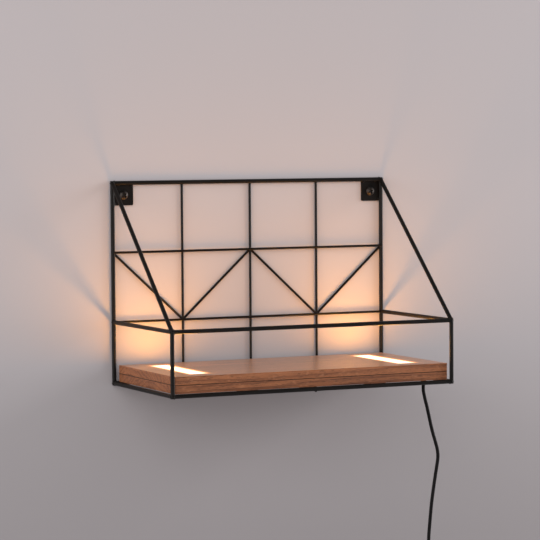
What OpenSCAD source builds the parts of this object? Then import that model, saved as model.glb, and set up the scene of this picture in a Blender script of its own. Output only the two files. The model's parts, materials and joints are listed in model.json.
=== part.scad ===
// Wall lamp with shelf: a welded black rod frame that hangs from two screws and
// carries a two-layer wooden board with two lit windows, fed by a thin cord.
// Millimetres. X runs to the right seen from the front, Y into the wall, Z up.
// The origin lies midway between the two wall screws, on the wall's face.

/* [Overall size] */
// Width over the two side frames
lamp_w = 300; // [270:5:380]
// Height over the top and bottom rails
lamp_h = 200; // [180:5:260]
// Depth from the wall to the front of the frame
lamp_d = 150; // [140:5:190]

/* [Rods and grid] */
// Diameter of the frame rods
rod_d = 4; // [3.5:0.5:5]
// Diameter of the thin grid wires
wire_d = 2.4; // [2:0.1:2.8]
// Guard rail above the bottom rail, axis to axis
guard_h = 60; // [40:1:90]
// Low grid rail above the bottom rail, axis to axis
low_rail_h = 60; // [40:1:90]
// Mid grid rail above the bottom rail, axis to axis
mid_rail_h = 128; // [110:1:150]

/* [Wall tabs] */
// Width and height of each wall tab
tab_size = 20; // [16:1:26]
// Thickness of each wall tab
tab_t = 1.5; // [1:0.1:1.7]
// Corner radius of each wall tab
tab_corner_r = 1.5; // [1:0.5:3]
// Radius of the weld beads that hold the tabs
bead_r = 1.6; // [1.2:0.1:2]

/* [Wall screws] */
// Thread diameter of the wall screws
wall_screw_d = 4.5; // [4:0.1:5]
// Diameter of their smooth neck under the head
wall_screw_neck_d = 3.6; // [3:0.1:3.8]
// Head diameter of the wall screws
wall_screw_head_d = 9; // [8:0.5:11]
// Head height of the wall screws
wall_screw_head_h = 2.8; // [2:0.2:3.4]
// Length of the wall screws under the head
wall_screw_l = 35; // [30:5:50]
// Play of a screw in its clearance hole, on the diameter
hole_play = 0.5; // [0.3:0.1:1]

/* [Shelf board] */
// Thickness of each of the board's two layers
layer_t = 8; // [7:0.5:12]
// Gap between the board and the posts at each end
board_side_gap = 1; // [0.5:0.5:3]
// Gap between the board and the front posts
board_front_gap = 0.5; // [0.5:0.5:2]
// Gap between the board and the back frame
board_back_gap = 2.5; // [1.5:0.5:6]
// Radius of the board's upright edges
board_edge_r = 1.5; // [1:0.5:4]
// Chamfer along the board's top edge
board_chamfer = 0.6; // [0.4:0.2:1.2]
// Chamfer along both sides of the seam between the layers
seam_chamfer = 0.4; // [0.2:0.1:0.8]

/* [Board fixing] */
// Width of the bars under the board
bar_w = 16; // [12:1:24]
// Thickness of the bars under the board
bar_t = 1.5; // [1:0.1:1.7]
// Distance of each bar from the middle of the lamp
bar_x = 68; // [50:1:80]
// Distance of the board screws from the board's front and back edges
board_screw_inset = 26; // [18:1:40]
// Shank diameter of the board screws
board_screw_d = 3.5; // [3:0.1:4]
// Length of the board screws under the head
board_screw_l = 8.5; // [7:0.5:8.5]
// Head diameter of the board screws
board_screw_head_d = 7; // [6:0.5:8]
// Head height of the board screws
board_screw_head_h = 1.6; // [1.2:0.1:1.8]

/* [Light windows] */
// Width of each lit window
window_w = 20; // [16:1:26]
// Length of each lit window, front to back
window_l = 100; // [80:2:110]
// From the end of the board to the middle of the window
window_inset = 34; // [32:1:50]
// Rim under the wood that holds each diffuser
diffuser_rim = 2; // [1.5:0.5:3]
// Thickness of that rim
diffuser_rim_t = 2; // [1.5:0.5:3]
// Play round a diffuser in its window
diffuser_play = 0.1; // [0.1:0.1:0.3]
// Depth of each light pocket in the lower layer
pocket_depth = 5; // [4.5:0.1:6]
// Thickness of the aluminium plate in each pocket
plate_t = 1; // [0.8:0.1:1.5]
// Width of each light-emitting strip
strip_w = 10; // [8:1:12]
// Thickness of each strip's circuit board
strip_t = 1.2; // [1:0.1:1.6]
// Distance between two light chips on a strip
chip_pitch = 8; // [7:0.5:12]
// Length, width and height of a light chip
chip = [2.8, 3.5, 0.8];

/* [Cord] */
// Diameter of the cord
cord_d = 3.4; // [3.2:0.1:3.8]
// Diameter of one insulated core
core_d = 1.2; // [1:0.1:1.4]
// From the board's right end to the cord hole
gland_inset_x = 8; // [8:1:14]
// From the board's front edge to the cord hole
gland_inset_y = 34.5; // [30:0.5:60]
// Gap between neighbouring turns of the cord's coil
coil_gap = 0.5; // [0.45:0.05:0.6]
// Radius of the middle of the coil's turns
coil_mid_r = 20; // [20:0.5:24]
// Width of the strap that ties the coil
tie_w = 8; // [6:1:12]
// Thickness of that strap
tie_t = 1.2; // [0.8:0.1:1.6]

/* [Cord switch] */
// Width of the cord switch
switch_w = 18; // [16:1:22]
// Length of the cord switch without its sleeves
switch_l = 50; // [44:1:60]
// Depth of the cord switch, front to back
switch_depth = 15; // [14:1:18]
// Radius round the front and back faces of the cord switch
switch_edge_r = 2.5; // [1:0.5:3]
// Length of the rocker
rocker_l = 16; // [14:1:20]
// Width of the rocker
rocker_w = 9; // [8:1:11]
// Tilt of the rocker between its two positions
rocker_travel = 16; // [10:1:18]

/* [Power supply] */
// Width of the plug-in power supply
supply_w = 32; // [30:1:40]
// Length of the power supply
supply_l = 60; // [54:1:70]
// Depth of the power supply without its pins
supply_depth = 24; // [22:1:30]
// Radius round the front and back faces of the power supply
supply_edge_r = 4; // [2.5:0.5:4.5]
// Length of the boot on the cord where it enters the power supply
boot_l = 20; // [16:1:22]
// Distance between the two plug pins
pin_spacing = 18.6; // [17.5:0.1:19]
// Diameter of a plug pin
pin_d = 4; // [3.8:0.1:4.8]
// Length of a plug pin
pin_l = 19; // [17:1:20]

/* [Hidden] */

$fn = 48;

// Colours, as seen on the lamp
BLACK = [0.07, 0.07, 0.07];
STEEL = [0.55, 0.52, 0.48];
WOOD = [0.50, 0.29, 0.20];
OPAL = [1.0, 0.93, 0.78];
ALUMINIUM = [0.78, 0.79, 0.80];
CIRCUIT = [0.93, 0.93, 0.90];
COPPER = [0.62, 0.16, 0.10];
RUBBER = [0.05, 0.05, 0.05];

// Frame: axes of the rods
rod_r = rod_d / 2;
wire_r = wire_d / 2;
half_w = lamp_w / 2 - rod_r;
back_y = -rod_r;
front_y = -(lamp_d - rod_r);
top_z = tab_size / 2 + rod_r;
bottom_z = top_z - (lamp_h - rod_d);
guard_z = bottom_z + guard_h;
low_z = bottom_z + low_rail_h;
mid_z = bottom_z + mid_rail_h;

// Grid: uprights and braces lie against the wall, the two rails cross in front
grid_y = -wire_r;
grid_front_y = grid_y - wire_d;
grid_step = half_w / 2;
screw_x = half_w - rod_r - tab_size / 2;

// Board
board_w = lamp_w - 2 * rod_d - 2 * board_side_gap;
board_front_y = front_y + rod_r + board_front_gap;
board_back_y = -rod_d - board_back_gap;
board_depth = board_back_y - board_front_y;
board_mid_y = (board_back_y + board_front_y) / 2;
board_z = bottom_z + rod_r;
seam_z = board_z + layer_t;
board_top_z = seam_z + layer_t;
window_x = board_w / 2 - window_inset;
board_screw_crown_d = board_screw_head_d - 2.6;
board_screw_y = [board_front_y + board_screw_inset, board_back_y - board_screw_inset];

// Light pockets
plate_play = 0.3;
diffuser_sunk = 0.2;
pocket_z = seam_z - pocket_depth;
strip_z = pocket_z + plate_t;
strip_top_z = strip_z + strip_t;
strip_end_gap = 3;
strip_l = window_l - 2 * strip_end_gap;
chip_count = 2 * floor((strip_l - chip_pitch) / chip_pitch / 2) + 2;
core_z = strip_top_z + core_d / 2;
core_gap = 0.8;
solder_lap = 2;
link_groove_w = 6;

// Cord, from the hole in the board down to the power supply
gland_x = board_w / 2 - gland_inset_x;
gland_y = board_front_y + gland_inset_y;
gland_neck_d = cord_d + 2.6;
gland_neck_h = 1.2;
gland_flange_d = gland_neck_d + 4;
gland_flange_t = 1.6;
gland_sleeve_l = 5.4;
gland_root_d = cord_d + 2.8;
gland_tip_d = cord_d + 1.2;
gland_play = 0.1;
pilot_play = 0.1;
tail_bend_r = 5;
tail_play = 0.8;
tail_floor = 2;
tail_groove_w = cord_d + 2 * tail_play;
tail_floor_z = board_z + tail_floor;
bare_core_l = 1.5;
tail_end_x = window_x + window_w / 2 + bare_core_l;
cord_start_z = board_z - gland_flange_t - gland_sleeve_l;

// Points of the free cord, chosen by hand, from the gland's sleeve to the switch
CORD_ROUTE = [
  [137.0, -111.0, -189.0], [137.0, -111.0, -195.5], [138.8, -111.0, -204.0],
  [141.2, -111.1, -213.0], [143.3, -111.1, -222.0], [145.4, -111.2, -231.0],
  [147.9, -111.2, -240.0], [150.4, -111.3, -248.0], [152.4, -111.4, -255.5],
  [152.9, -111.5, -263.0], [151.6, -111.6, -271.5], [149.9, -111.7, -280.5],
  [148.3, -111.8, -289.5], [146.7, -111.9, -299.0], [145.2, -112.0, -309.0],
  [144.1, -112.0, -319.0], [143.0, -112.0, -330.0], [142.0, -112.0, -341.5],
  [142.0, -112.0, -351.0]
];
cord_end = CORD_ROUTE[len(CORD_ROUTE) - 1];
cord_sides = 8;

// Switch on the cord
sleeve_l = 6;
sleeve_root_d = cord_d + 4;
sleeve_tip_d = cord_d + 1.6;
switch_top_z = cord_end[2] - sleeve_l;
switch_mid_z = switch_top_z - switch_l / 2;
switch_low_z = switch_top_z - switch_l;
switch_out_z = switch_low_z - sleeve_l;
switch_split_y = cord_end[1];
switch_front_y = switch_split_y - switch_depth / 2;
switch_corner_r = 4;
case_wall = 2;
terminal_w = 10;
terminal_l = 6;
terminal_t = 3.5;
terminal_inset = 9;
terminal_screw_d = 3;
terminal_screw_h = 0.8;
terminal_screw_x = 2.5;
rocker_pin_d = 2;
rocker_pin_l = 2;
rocker_pin_play = 0.08;
rocker_play = 0.5;
rocker_proud = 1.6;
rocker_sunk = 2.4;
rocker_back = 2.2;
rocker_lip = 1;
rocker_dip = 1.1;
rocker_flat = 1.5;
rocker_half_turn = rocker_travel / 2;
rocker_pivot_y = switch_front_y + rocker_sunk;
rocker_well_l = rocker_l * cos(rocker_half_turn)
  + 2 * (rocker_sunk + rocker_proud) * sin(rocker_half_turn) + 2 * rocker_play;
rocker_well = rocker_sunk + rocker_back * cos(rocker_half_turn)
  + rocker_l / 4 * sin(rocker_half_turn) + rocker_play;

// Coil: three turns to a layer, four layers, wound in and out by turns
coil_layers = 4;
layer_turns = 3;
coil_turns = coil_layers * layer_turns;
coil_pitch = cord_d + coil_gap;
coil_out_r = coil_mid_r + layer_turns * coil_pitch / 2;
coil_in_r = coil_out_r - layer_turns * coil_pitch;
coil_clear = 2;
coil_x = cord_end[0] - coil_out_r;
coil_z = switch_out_z - coil_clear - coil_out_r - cord_d / 2;
coil_back_y = cord_end[1] + (coil_layers - 1) * coil_pitch;
turn_rings = 24;
coil_sides = 6;
coil_start_z = coil_z + cord_d;
coil_stop_z = coil_z - cord_d;
tie_play = 0.1;
tie_corner_r = 2.5;
tie_end_l = 13;

// Power supply under the coil
supply_top_z = coil_z - coil_out_r - cord_d / 2 - coil_clear;
supply_low_z = supply_top_z - supply_l;
supply_x = cord_end[0];
supply_y = coil_back_y;
supply_corner_r = 5;
shadow_gap = 0.4;
shadow_gap_depth = 0.5;
grip_count = 5;
grip_pitch = 4;
grip_low = 22;
grip_d = 3;
grip_depth = 0.7;
pin_inset = 14;
pin_z = supply_low_z + pin_inset;
pin_collar_d = pin_d + 1;
pin_shoulder_d = pin_d + 3;
pin_shoulder_l = 3;

// Boot on the cord, and the board inside the supply with its tallest parts
boot_core_d = cord_d + 0.8;
boot_neck_d = cord_d + 2;
boot_collar_t = 1.5;
boot_grooves = 4;
boot_groove_w = 1.2;
boot_groove_pitch = 3.5;
pcb_t = 1.6;
pcb_gap = 1;
pcb_w = supply_w - 2 * case_wall - 2 * pcb_gap;
pcb_l = supply_l - 2 * case_wall - 2 * pcb_gap;
post_d = 4;
post_l = 3.4;
post_inset = 4;
pcb_y = supply_y + supply_depth / 2 - case_wall - post_l;
transformer_w = 17;
transformer_l = 18;
transformer_t = 11;
transformer_z = 8;
capacitor_d = 7;
capacitor_h = 10;
capacitor_z = -11;

// ---------------------------------------------------------------- helpers
module along_x(d, x0, x1, y, z)
  translate([x0, y, z]) rotate([0, 90, 0]) cylinder(d = d, h = x1 - x0);

module along_y(d, y0, y1, x, z)
  translate([x, y0, z]) rotate([-90, 0, 0]) cylinder(d = d, h = y1 - y0);

module along_z(d, z0, z1, x, y)
  translate([x, y, z0]) cylinder(d = d, h = z1 - z0);

// A straight rod between two points
module rod_between(p, q, d) {
  run = q - p;
  translate(p)
    rotate([0, acos(run[2] / norm(run)), atan2(run[1], run[0])])
      cylinder(d = d, h = norm(run));
}

// A twelve-sided cutter that just holds an upright rod, for slanting ends that meet it
module upright_cutter(d, z0, z1, x, y)
  translate([x, y, z0]) cylinder(d = d / cos(15), h = z1 - z0, $fn = 12);

// A flat plate with four rounded corners, centred
module rounded_plate(w, l, t, r)
  linear_extrude(t) rounded_rect(w, l, r);

module rounded_rect(w, l, r) {
  square([w - 2 * r, l], center = true);
  square([w, l - 2 * r], center = true);
  for (x = [-1, 1], y = [-1, 1])
    translate([x * (w / 2 - r), y * (l / 2 - r)]) circle(r = r);
}

// Half of a moulded case, from its open face at z = 0 to its back at z = d: the outline has
// corners of radius r, and the edge round the back has radius e
module moulded_half(w, l, d, r, e, below = 0)
  intersection() {
    translate([0, 0, -below]) rounded_plate(w, l, d + below, r);
    translate([0, l / 2, 0]) rotate([90, 0, 0]) linear_extrude(l) rounded_rect(w, 2 * d, e);
    translate([-w / 2, 0, 0]) rotate([90, 0, 90]) linear_extrude(w) rounded_rect(l, 2 * d, e);
  }

// Groove round the open face of such a half
module shadow_groove(w, l, r)
  difference() {
    rounded_plate(w, l, shadow_gap, r);
    translate([0, 0, -shadow_gap])
      rounded_plate(w - 2 * shadow_gap_depth, l - 2 * shadow_gap_depth, 3 * shadow_gap,
                    r - shadow_gap_depth);
  }

// Both uprights, as one cutter or as a guide to cut rod ends to fit
module upright_rods()
  for (side = [-1, 1])
    along_z(rod_d, bottom_z - rod_r, top_z + rod_r, side * half_w, back_y);

module post_rods()
  for (side = [-1, 1])
    along_z(rod_d, bottom_z - rod_r, guard_z + rod_r, side * half_w, front_y);

// ---------------------------------------------------------------- frame
module back_rail(z)
  difference() {
    along_x(rod_d, -half_w, half_w, back_y, z);
    upright_rods();
  }

module top_rail() color(BLACK) back_rail(top_z);
module back_bottom_rail() color(BLACK) back_rail(bottom_z);

module upright(side)
  along_z(rod_d, bottom_z - rod_r, top_z + rod_r, side * half_w, back_y);

module left_upright() color(BLACK) upright(-1);
module right_upright() color(BLACK) upright(1);

module front_rail(z)
  difference() {
    along_x(rod_d, -half_w, half_w, front_y, z);
    post_rods();
  }

module front_bottom_rail() color(BLACK) front_rail(bottom_z);
module front_guard_rail() color(BLACK) front_rail(guard_z);

module front_post(side)
  along_z(rod_d, bottom_z - rod_r, guard_z + rod_r, side * half_w, front_y);

module left_front_post() color(BLACK) front_post(-1);
module right_front_post() color(BLACK) front_post(1);

// A rail from an upright to a post, cut to fit round both
module side_rail(side, z)
  difference() {
    along_y(rod_d, front_y, back_y, side * half_w, z);
    upright_rods();
    post_rods();
    along_x(rod_d, -half_w, half_w, front_y, z);
    along_x(rod_d, -half_w, half_w, back_y, z);
  }

module left_bottom_rail() color(BLACK) side_rail(-1, bottom_z);
module right_bottom_rail() color(BLACK) side_rail(1, bottom_z);
module left_guard_rail() color(BLACK) side_rail(-1, guard_z);
module right_guard_rail() color(BLACK) side_rail(1, guard_z);

// A rod across the middle, under the board
module centre_bottom_rod()
  color(BLACK)
    difference() {
      along_y(rod_d, front_y, back_y, 0, bottom_z);
      for (y = [front_y, back_y]) along_x(rod_d, -half_w, half_w, y, bottom_z);
      along_z(wire_d, bottom_z - rod_d, top_z, 0, grid_y);
    }

// A slanting stay from the top corner of the back frame down to the guard corner,
// where it stands on the top of the post
module stay(side) {
  x = side * half_w;
  difference() {
    rod_between([x, back_y, top_z], [x, front_y, guard_z], rod_d);
    upright_cutter(rod_d, guard_z, top_z + rod_d, x, back_y);
    translate([x - rod_d, back_y, guard_z]) cube([2 * rod_d, rod_d, lamp_h]);
    translate([x - rod_d, front_y - 2 * rod_d, guard_z - 2 * rod_d])
      cube([2 * rod_d, 4 * rod_d, 2 * rod_d + rod_r]);
  }
}

module left_stay() color(BLACK) stay(-1);
module right_stay() color(BLACK) stay(1);

// ---------------------------------------------------------------- back grid
module grid_upright(x)
  difference() {
    along_z(wire_d, bottom_z, top_z, x, grid_y);
    for (z = [bottom_z, top_z]) along_x(rod_d, x - wire_d, x + wire_d, back_y, z);
  }

module left_grid_upright() color(BLACK) grid_upright(-grid_step);
module centre_grid_upright() color(BLACK) grid_upright(0);
module right_grid_upright() color(BLACK) grid_upright(grid_step);

module grid_rail(z)
  difference() {
    along_x(wire_d, -half_w, half_w, grid_front_y, z);
    upright_rods();
    for (side = [-1, 1]) along_y(rod_d, front_y, back_y, side * half_w, guard_z);
  }

module mid_grid_rail() color(BLACK) grid_rail(mid_z);
module low_grid_rail() color(BLACK) grid_rail(low_z);

// A slanting wire from a high crossing to a low one, cut to the two rods it ends on
module brace(high_x, low_x) {
  lean = sign(low_x - high_x);
  difference() {
    rod_between([high_x, grid_y, mid_z], [low_x, grid_y, low_z], wire_d);
    if (abs(high_x) == half_w) upright_cutter(rod_d, bottom_z, top_z, high_x, back_y);
    else upright_cutter(wire_d, bottom_z, top_z, high_x, grid_y);
    upright_cutter(wire_d, bottom_z, top_z, low_x, grid_y);
    // what lies past the middle of either rod
    for (end = [[high_x, -lean], [low_x, lean]])
      translate([end[0] - (end[1] > 0 ? 0 : rod_d), -rod_d, low_z - rod_d])
        cube([rod_d, 2 * rod_d, mid_z - low_z + 2 * rod_d]);
  }
}

module brace_1() color(BLACK) brace(-half_w, -grid_step);
module brace_2() color(BLACK) brace(0, -grid_step);
module brace_3() color(BLACK) brace(0, grid_step);
module brace_4() color(BLACK) brace(half_w, grid_step);

// ---------------------------------------------------------------- wall fixing
module wall_tab(side)
  difference() {
    union() {
      translate([side * screw_x, 0, 0])
        rotate([90, 0, 0]) rounded_plate(tab_size, tab_size, tab_t, tab_corner_r);
      // square sides run on into the rods that they are welded to
      translate([side > 0 ? screw_x : -half_w, -tab_t, -tab_size / 2])
        cube([half_w - screw_x, tab_t, tab_size / 2 + top_z]);
      translate([side > 0 ? screw_x - tab_size / 2 : -half_w, -tab_t, 0])
        cube([half_w - screw_x + tab_size / 2, tab_t, top_z]);
      tab_beads(side);
    }
    upright_rods();
    along_x(rod_d, -half_w, half_w, back_y, top_z);
    along_y(wall_screw_d + hole_play, -2 * tab_t, tab_t, side * screw_x, 0);
    translate([-lamp_w, 0, -tab_size]) cube([2 * lamp_w, tab_size, 2 * tab_size]);
  }

// Beads of weld where the tab's corners meet the rods
module tab_beads(side) {
  inner_x = side * (screw_x - tab_size / 2 + bead_r);
  outer_x = side * (half_w - rod_r);
  for (p = [[inner_x, top_z - rod_r], [outer_x, -tab_size / 2 + bead_r]])
    translate([p[0], -tab_t, p[1]]) sphere(r = bead_r);
}

module left_wall_tab() color(BLACK) wall_tab(-1);
module right_wall_tab() color(BLACK) wall_tab(1);

// A cross cut half as deep as the head that it is in
module cross_recess(head_d, head_h)
  for (turn = [0, 90])
    rotate([0, 0, turn]) translate([0, 0, -head_h])
      cube([head_d / 2, head_d / 10, head_h], center = true);

// Pan head with a cross recess, a neck in the tab, and a thread that starts at the wall
module wall_screw() {
  dome_r = (pow(wall_screw_head_d / 2, 2) + pow(wall_screw_head_h, 2)) / 2 / wall_screw_head_h;
  difference() {
    union() {
      cylinder(d = wall_screw_neck_d, h = tab_t);
      translate([0, 0, tab_t]) cylinder(d = wall_screw_d, h = wall_screw_l - tab_t);
      intersection() {
        translate([0, 0, dome_r - wall_screw_head_h]) sphere(r = dome_r, $fn = 96);
        translate([0, 0, -wall_screw_head_h]) cylinder(d = wall_screw_head_d, h = wall_screw_head_h);
      }
    }
    cross_recess(wall_screw_head_d, wall_screw_head_h);
  }
}

module wall_screws()
  color(STEEL)
    for (side = [-1, 1])
      translate([side * screw_x, -tab_t, 0]) rotate([-90, 0, 0]) wall_screw();

// ---------------------------------------------------------------- board fixing
// A flat bar between the bottom rails, its top level with the tops of the rails
module support_bar(side)
  difference() {
    translate([side * bar_x - bar_w / 2, front_y, board_z - bar_t])
      cube([bar_w, back_y - front_y, bar_t]);
    for (y = [front_y, back_y])
      along_x(rod_d, -half_w, half_w, y, bottom_z);
    for (y = board_screw_y)
      along_z(board_screw_d + hole_play, bottom_z - rod_d, board_z + rod_d, side * bar_x, y);
  }

module left_support_bar() color(BLACK) support_bar(-1);
module right_support_bar() color(BLACK) support_bar(1);

// The under-board screws: a low domed head with a cross recess under each bar
module board_screws()
  color(STEEL)
    for (side = [-1, 1], y = board_screw_y)
      translate([side * bar_x, y, board_z - bar_t])
        difference() {
          union() {
            cylinder(d = board_screw_d, h = board_screw_l);
            translate([0, 0, -board_screw_head_h / 2])
              cylinder(d = board_screw_head_d, h = board_screw_head_h / 2);
            translate([0, 0, -board_screw_head_h])
              cylinder(d1 = board_screw_crown_d, d2 = board_screw_head_d, h = board_screw_head_h / 2);
          }
          cross_recess(board_screw_head_d, board_screw_head_h);
        }

// ---------------------------------------------------------------- board
module board_layer(z)
  difference() {
    translate([0, board_mid_y, z]) rounded_plate(board_w, board_depth, layer_t, board_edge_r);
    edge_chamfer(seam_z, seam_chamfer);
  }

module at_windows()
  for (side = [-1, 1])
    translate([side * window_x, board_mid_y, 0]) children();

module lower_board()
  color(WOOD)
    difference() {
      board_layer(board_z);
      // pockets for the lights, and a groove for the wires that link them
      at_windows()
        translate([0, 0, pocket_z]) rounded_plate(window_w, window_l, pocket_depth + 1, board_edge_r);
      translate([-window_x, board_mid_y - link_groove_w / 2, strip_top_z])
        cube([2 * window_x, link_groove_w, layer_t]);
      // groove and hole for the cord
      translate([window_x + window_w / 2 - 1, gland_y - tail_groove_w / 2, tail_floor_z])
        cube([gland_x - window_x - window_w / 2 + 1, tail_groove_w, layer_t]);
      along_z(gland_neck_d, board_z - 1, seam_z + 1, gland_x, gland_y);
      for (side = [-1, 1], y = board_screw_y)
        along_z(board_screw_d + pilot_play, board_z - 1, board_z - bar_t + board_screw_l,
                side * bar_x, y);
    }

module upper_board()
  color(WOOD)
    difference() {
      board_layer(seam_z);
      at_windows() {
        translate([0, 0, seam_z - 1]) rounded_plate(window_w, window_l, layer_t + 2, board_edge_r);
        translate([0, 0, seam_z - 1])
          rounded_plate(window_w + 2 * diffuser_rim, window_l + 2 * diffuser_rim,
                        diffuser_rim_t + 1, board_edge_r + diffuser_rim);
      }
      edge_chamfer(board_top_z, board_chamfer);
    }

// Four straight cuts that break the board's edges at one height
module edge_chamfer(z, size)
  translate([0, board_mid_y, z])
    for (side = [-1, 1]) {
      translate([side * board_w / 2, 0, 0]) rotate([0, 45, 0])
        cube([size * sqrt(2), 2 * board_depth, size * sqrt(2)], center = true);
      translate([0, side * board_depth / 2, 0]) rotate([45, 0, 0])
        cube([2 * board_w, size * sqrt(2), size * sqrt(2)], center = true);
    }

// ---------------------------------------------------------------- lights
// An opal strip level with the wood, with a rim that the upper layer holds down
module diffuser(side)
  translate([side * window_x, board_mid_y, seam_z]) {
    rounded_plate(window_w - 2 * diffuser_play, window_l - 2 * diffuser_play,
                  layer_t - diffuser_sunk, board_edge_r);
    rounded_plate(window_w + 2 * (diffuser_rim - diffuser_play),
                  window_l + 2 * (diffuser_rim - diffuser_play),
                  diffuser_rim_t, board_edge_r + diffuser_rim);
  }

module left_diffuser() color(OPAL) diffuser(-1);
module right_diffuser() color(OPAL) diffuser(1);

module heat_plate(side)
  translate([side * window_x, board_mid_y, pocket_z])
    rounded_plate(window_w - 2 * plate_play, window_l - 2 * plate_play, plate_t, board_edge_r);

module left_heat_plate() color(ALUMINIUM) heat_plate(-1);
module right_heat_plate() color(ALUMINIUM) heat_plate(1);

// A circuit board with a row of light chips, in pairs either side of its middle
module led_strip(side)
  translate([side * window_x, board_mid_y, strip_z]) {
    translate([-strip_w / 2, -strip_l / 2, 0]) cube([strip_w, strip_l, strip_t]);
    for (i = [0 : chip_count - 1])
      translate([-chip[0] / 2, (i - (chip_count - 1) / 2) * chip_pitch - chip[1] / 2, strip_t])
        cube(chip);
  }

module left_led_strip() color(CIRCUIT) led_strip(-1);
module right_led_strip() color(CIRCUIT) led_strip(1);

// Two wires in the groove, from strip to strip
module link_wires()
  color(COPPER)
    for (side = [-1, 1])
      along_x(core_d, -window_x + strip_w / 2 - solder_lap, window_x - strip_w / 2 + solder_lap,
              board_mid_y + side * (core_gap + core_d) / 2, core_z);

// ---------------------------------------------------------------- cord
// A rubber bush: neck in the hole, flange under the board, short sleeve on the cord
module cord_gland()
  color(RUBBER)
    translate([gland_x, gland_y, board_z])
      difference() {
        union() {
          cylinder(d = gland_neck_d, h = gland_neck_h);
          translate([0, 0, -gland_flange_t]) cylinder(d = gland_flange_d, h = gland_flange_t);
          translate([0, 0, -gland_flange_t - gland_sleeve_l])
            cylinder(d1 = gland_tip_d, d2 = gland_root_d, h = gland_sleeve_l);
        }
        translate([0, 0, cord_start_z - board_z - 1]) cylinder(d = cord_d + gland_play, h = layer_t * 2);
      }

// The fixed end of the cord: up through the bush and along its groove
module cord_tail()
  color(RUBBER) {
    along_z(cord_d, cord_start_z, core_z - tail_bend_r, gland_x, gland_y);
    translate([gland_x - tail_bend_r, gland_y, core_z - tail_bend_r])
      rotate([90, 0, 0]) rotate_extrude(angle = 90)
        translate([tail_bend_r, 0]) circle(d = cord_d);
    along_x(cord_d, tail_end_x, gland_x - tail_bend_r, gland_y, core_z);
  }

// Two bare cores, from the end of the jacket to the right strip
module cord_cores()
  color(COPPER)
    for (side = [-1, 1])
      along_x(core_d, window_x + strip_w / 2 - solder_lap, tail_end_x,
              gland_y + side * (core_gap + core_d) / 2, core_z);

// Direction of a line of points at point i
function heading(p, i) =
  let (a = p[max(i - 1, 0)], b = p[min(i + 1, len(p) - 1)], v = b - a) v / norm(v);

// Corners of a ring round point i: one axis is square to Y, the other completes it
function ring_at(p, i, r, sides) =
  let (t = heading(p, i), across = cross(t, [0, 1, 0]), u = across / norm(across), v = cross(t, u))
  [for (k = [0 : sides - 1])
    let (turn = 360 * (k + 0.5) / sides) p[i] + r * (cos(turn) * u + sin(turn) * v)];

// One closed tube along points, built of triangles
module tube(p, d, sides) {
  n = len(p);
  corners = [for (i = [0 : n - 1]) each ring_at(p, i, d / 2, sides)];
  walls = [for (i = [0 : n - 2], k = [0 : sides - 1])
    let (a = i * sides + k, b = i * sides + (k + 1) % sides)
    each [[a, b, b + sides], [a, b + sides, a + sides]]];
  first_cap = [for (k = [1 : sides - 2]) [0, k + 1, k]];
  last = (n - 1) * sides;
  last_cap = [for (k = [1 : sides - 2]) [last, last + k, last + k + 1]];
  polyhedron(points = corners, faces = concat(walls, first_cap, last_cap));
}

// A straight run down, as a few points
function straight_run(x, y, z0, z1, steps) =
  [for (i = [0 : steps]) [x, y, z0 + (z1 - z0) * i / steps]];

module cord_drop() color(RUBBER) tube(CORD_ROUTE, cord_d, cord_sides);

module cord_to_coil()
  color(RUBBER)
    tube(straight_run(cord_end[0], cord_end[1], switch_out_z, coil_start_z, 3), cord_d, cord_sides);

module cord_to_plug()
  color(RUBBER)
    tube(straight_run(supply_x, supply_y, coil_stop_z, supply_top_z + boot_l, 2),
         cord_d, cord_sides);

// How far a turn count has gone through its layer, back and forth: 0 outside, 1 inside
function inward(turn) =
  let (m = turn % (2 * layer_turns))
  (m < layer_turns ? m : 2 * layer_turns - m) / layer_turns;

// Layer of a turn count: each reversal climbs one layer over half a turn, smoothly
function climbed(turn) =
  let (k = round(turn / layer_turns), s = (turn - k * layer_turns) / 0.5 + 0.5)
  k < 1 || k >= coil_layers ? (k < 1 ? 0 : coil_layers - 1)
    : k - 1 + (s < 0 ? 0 : s > 1 ? 1 : s * s * (3 - 2 * s));

function coil_point(turn) =
  let (r = coil_out_r - (coil_out_r - coil_in_r) * inward(turn), a = 360 * turn)
  [coil_x + r * cos(a), cord_end[1] + climbed(turn) * coil_pitch, coil_z - r * sin(a)];

COIL = concat(
  [[cord_end[0], cord_end[1], coil_start_z], [cord_end[0], cord_end[1], coil_z + cord_d / 2]],
  [for (i = [0 : coil_turns * turn_rings]) coil_point(i / turn_rings)],
  [[supply_x, supply_y, coil_z - cord_d / 2], [supply_x, supply_y, coil_stop_z]]
);

// Least gap between parts of the coil that are more than a third of a turn apart
function least_gap(p, apart) =
  min([for (i = [0 : len(p) - 1 - apart], j = [i + apart : len(p) - 1]) norm(p[i] - p[j])]) - cord_d;

module cord_coil() {
  echo("least gap between turns of the coil, mm", least_gap(COIL, floor(turn_rings / 3)));
  echo("length of the coil, mm", path_length(COIL));
  color(RUBBER) tube(COIL, cord_d, coil_sides);
}

function path_length(p) = sum([for (i = [0 : len(p) - 2]) norm(p[i + 1] - p[i])]);
function sum(list) = list * [for (i = list) 1];

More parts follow.
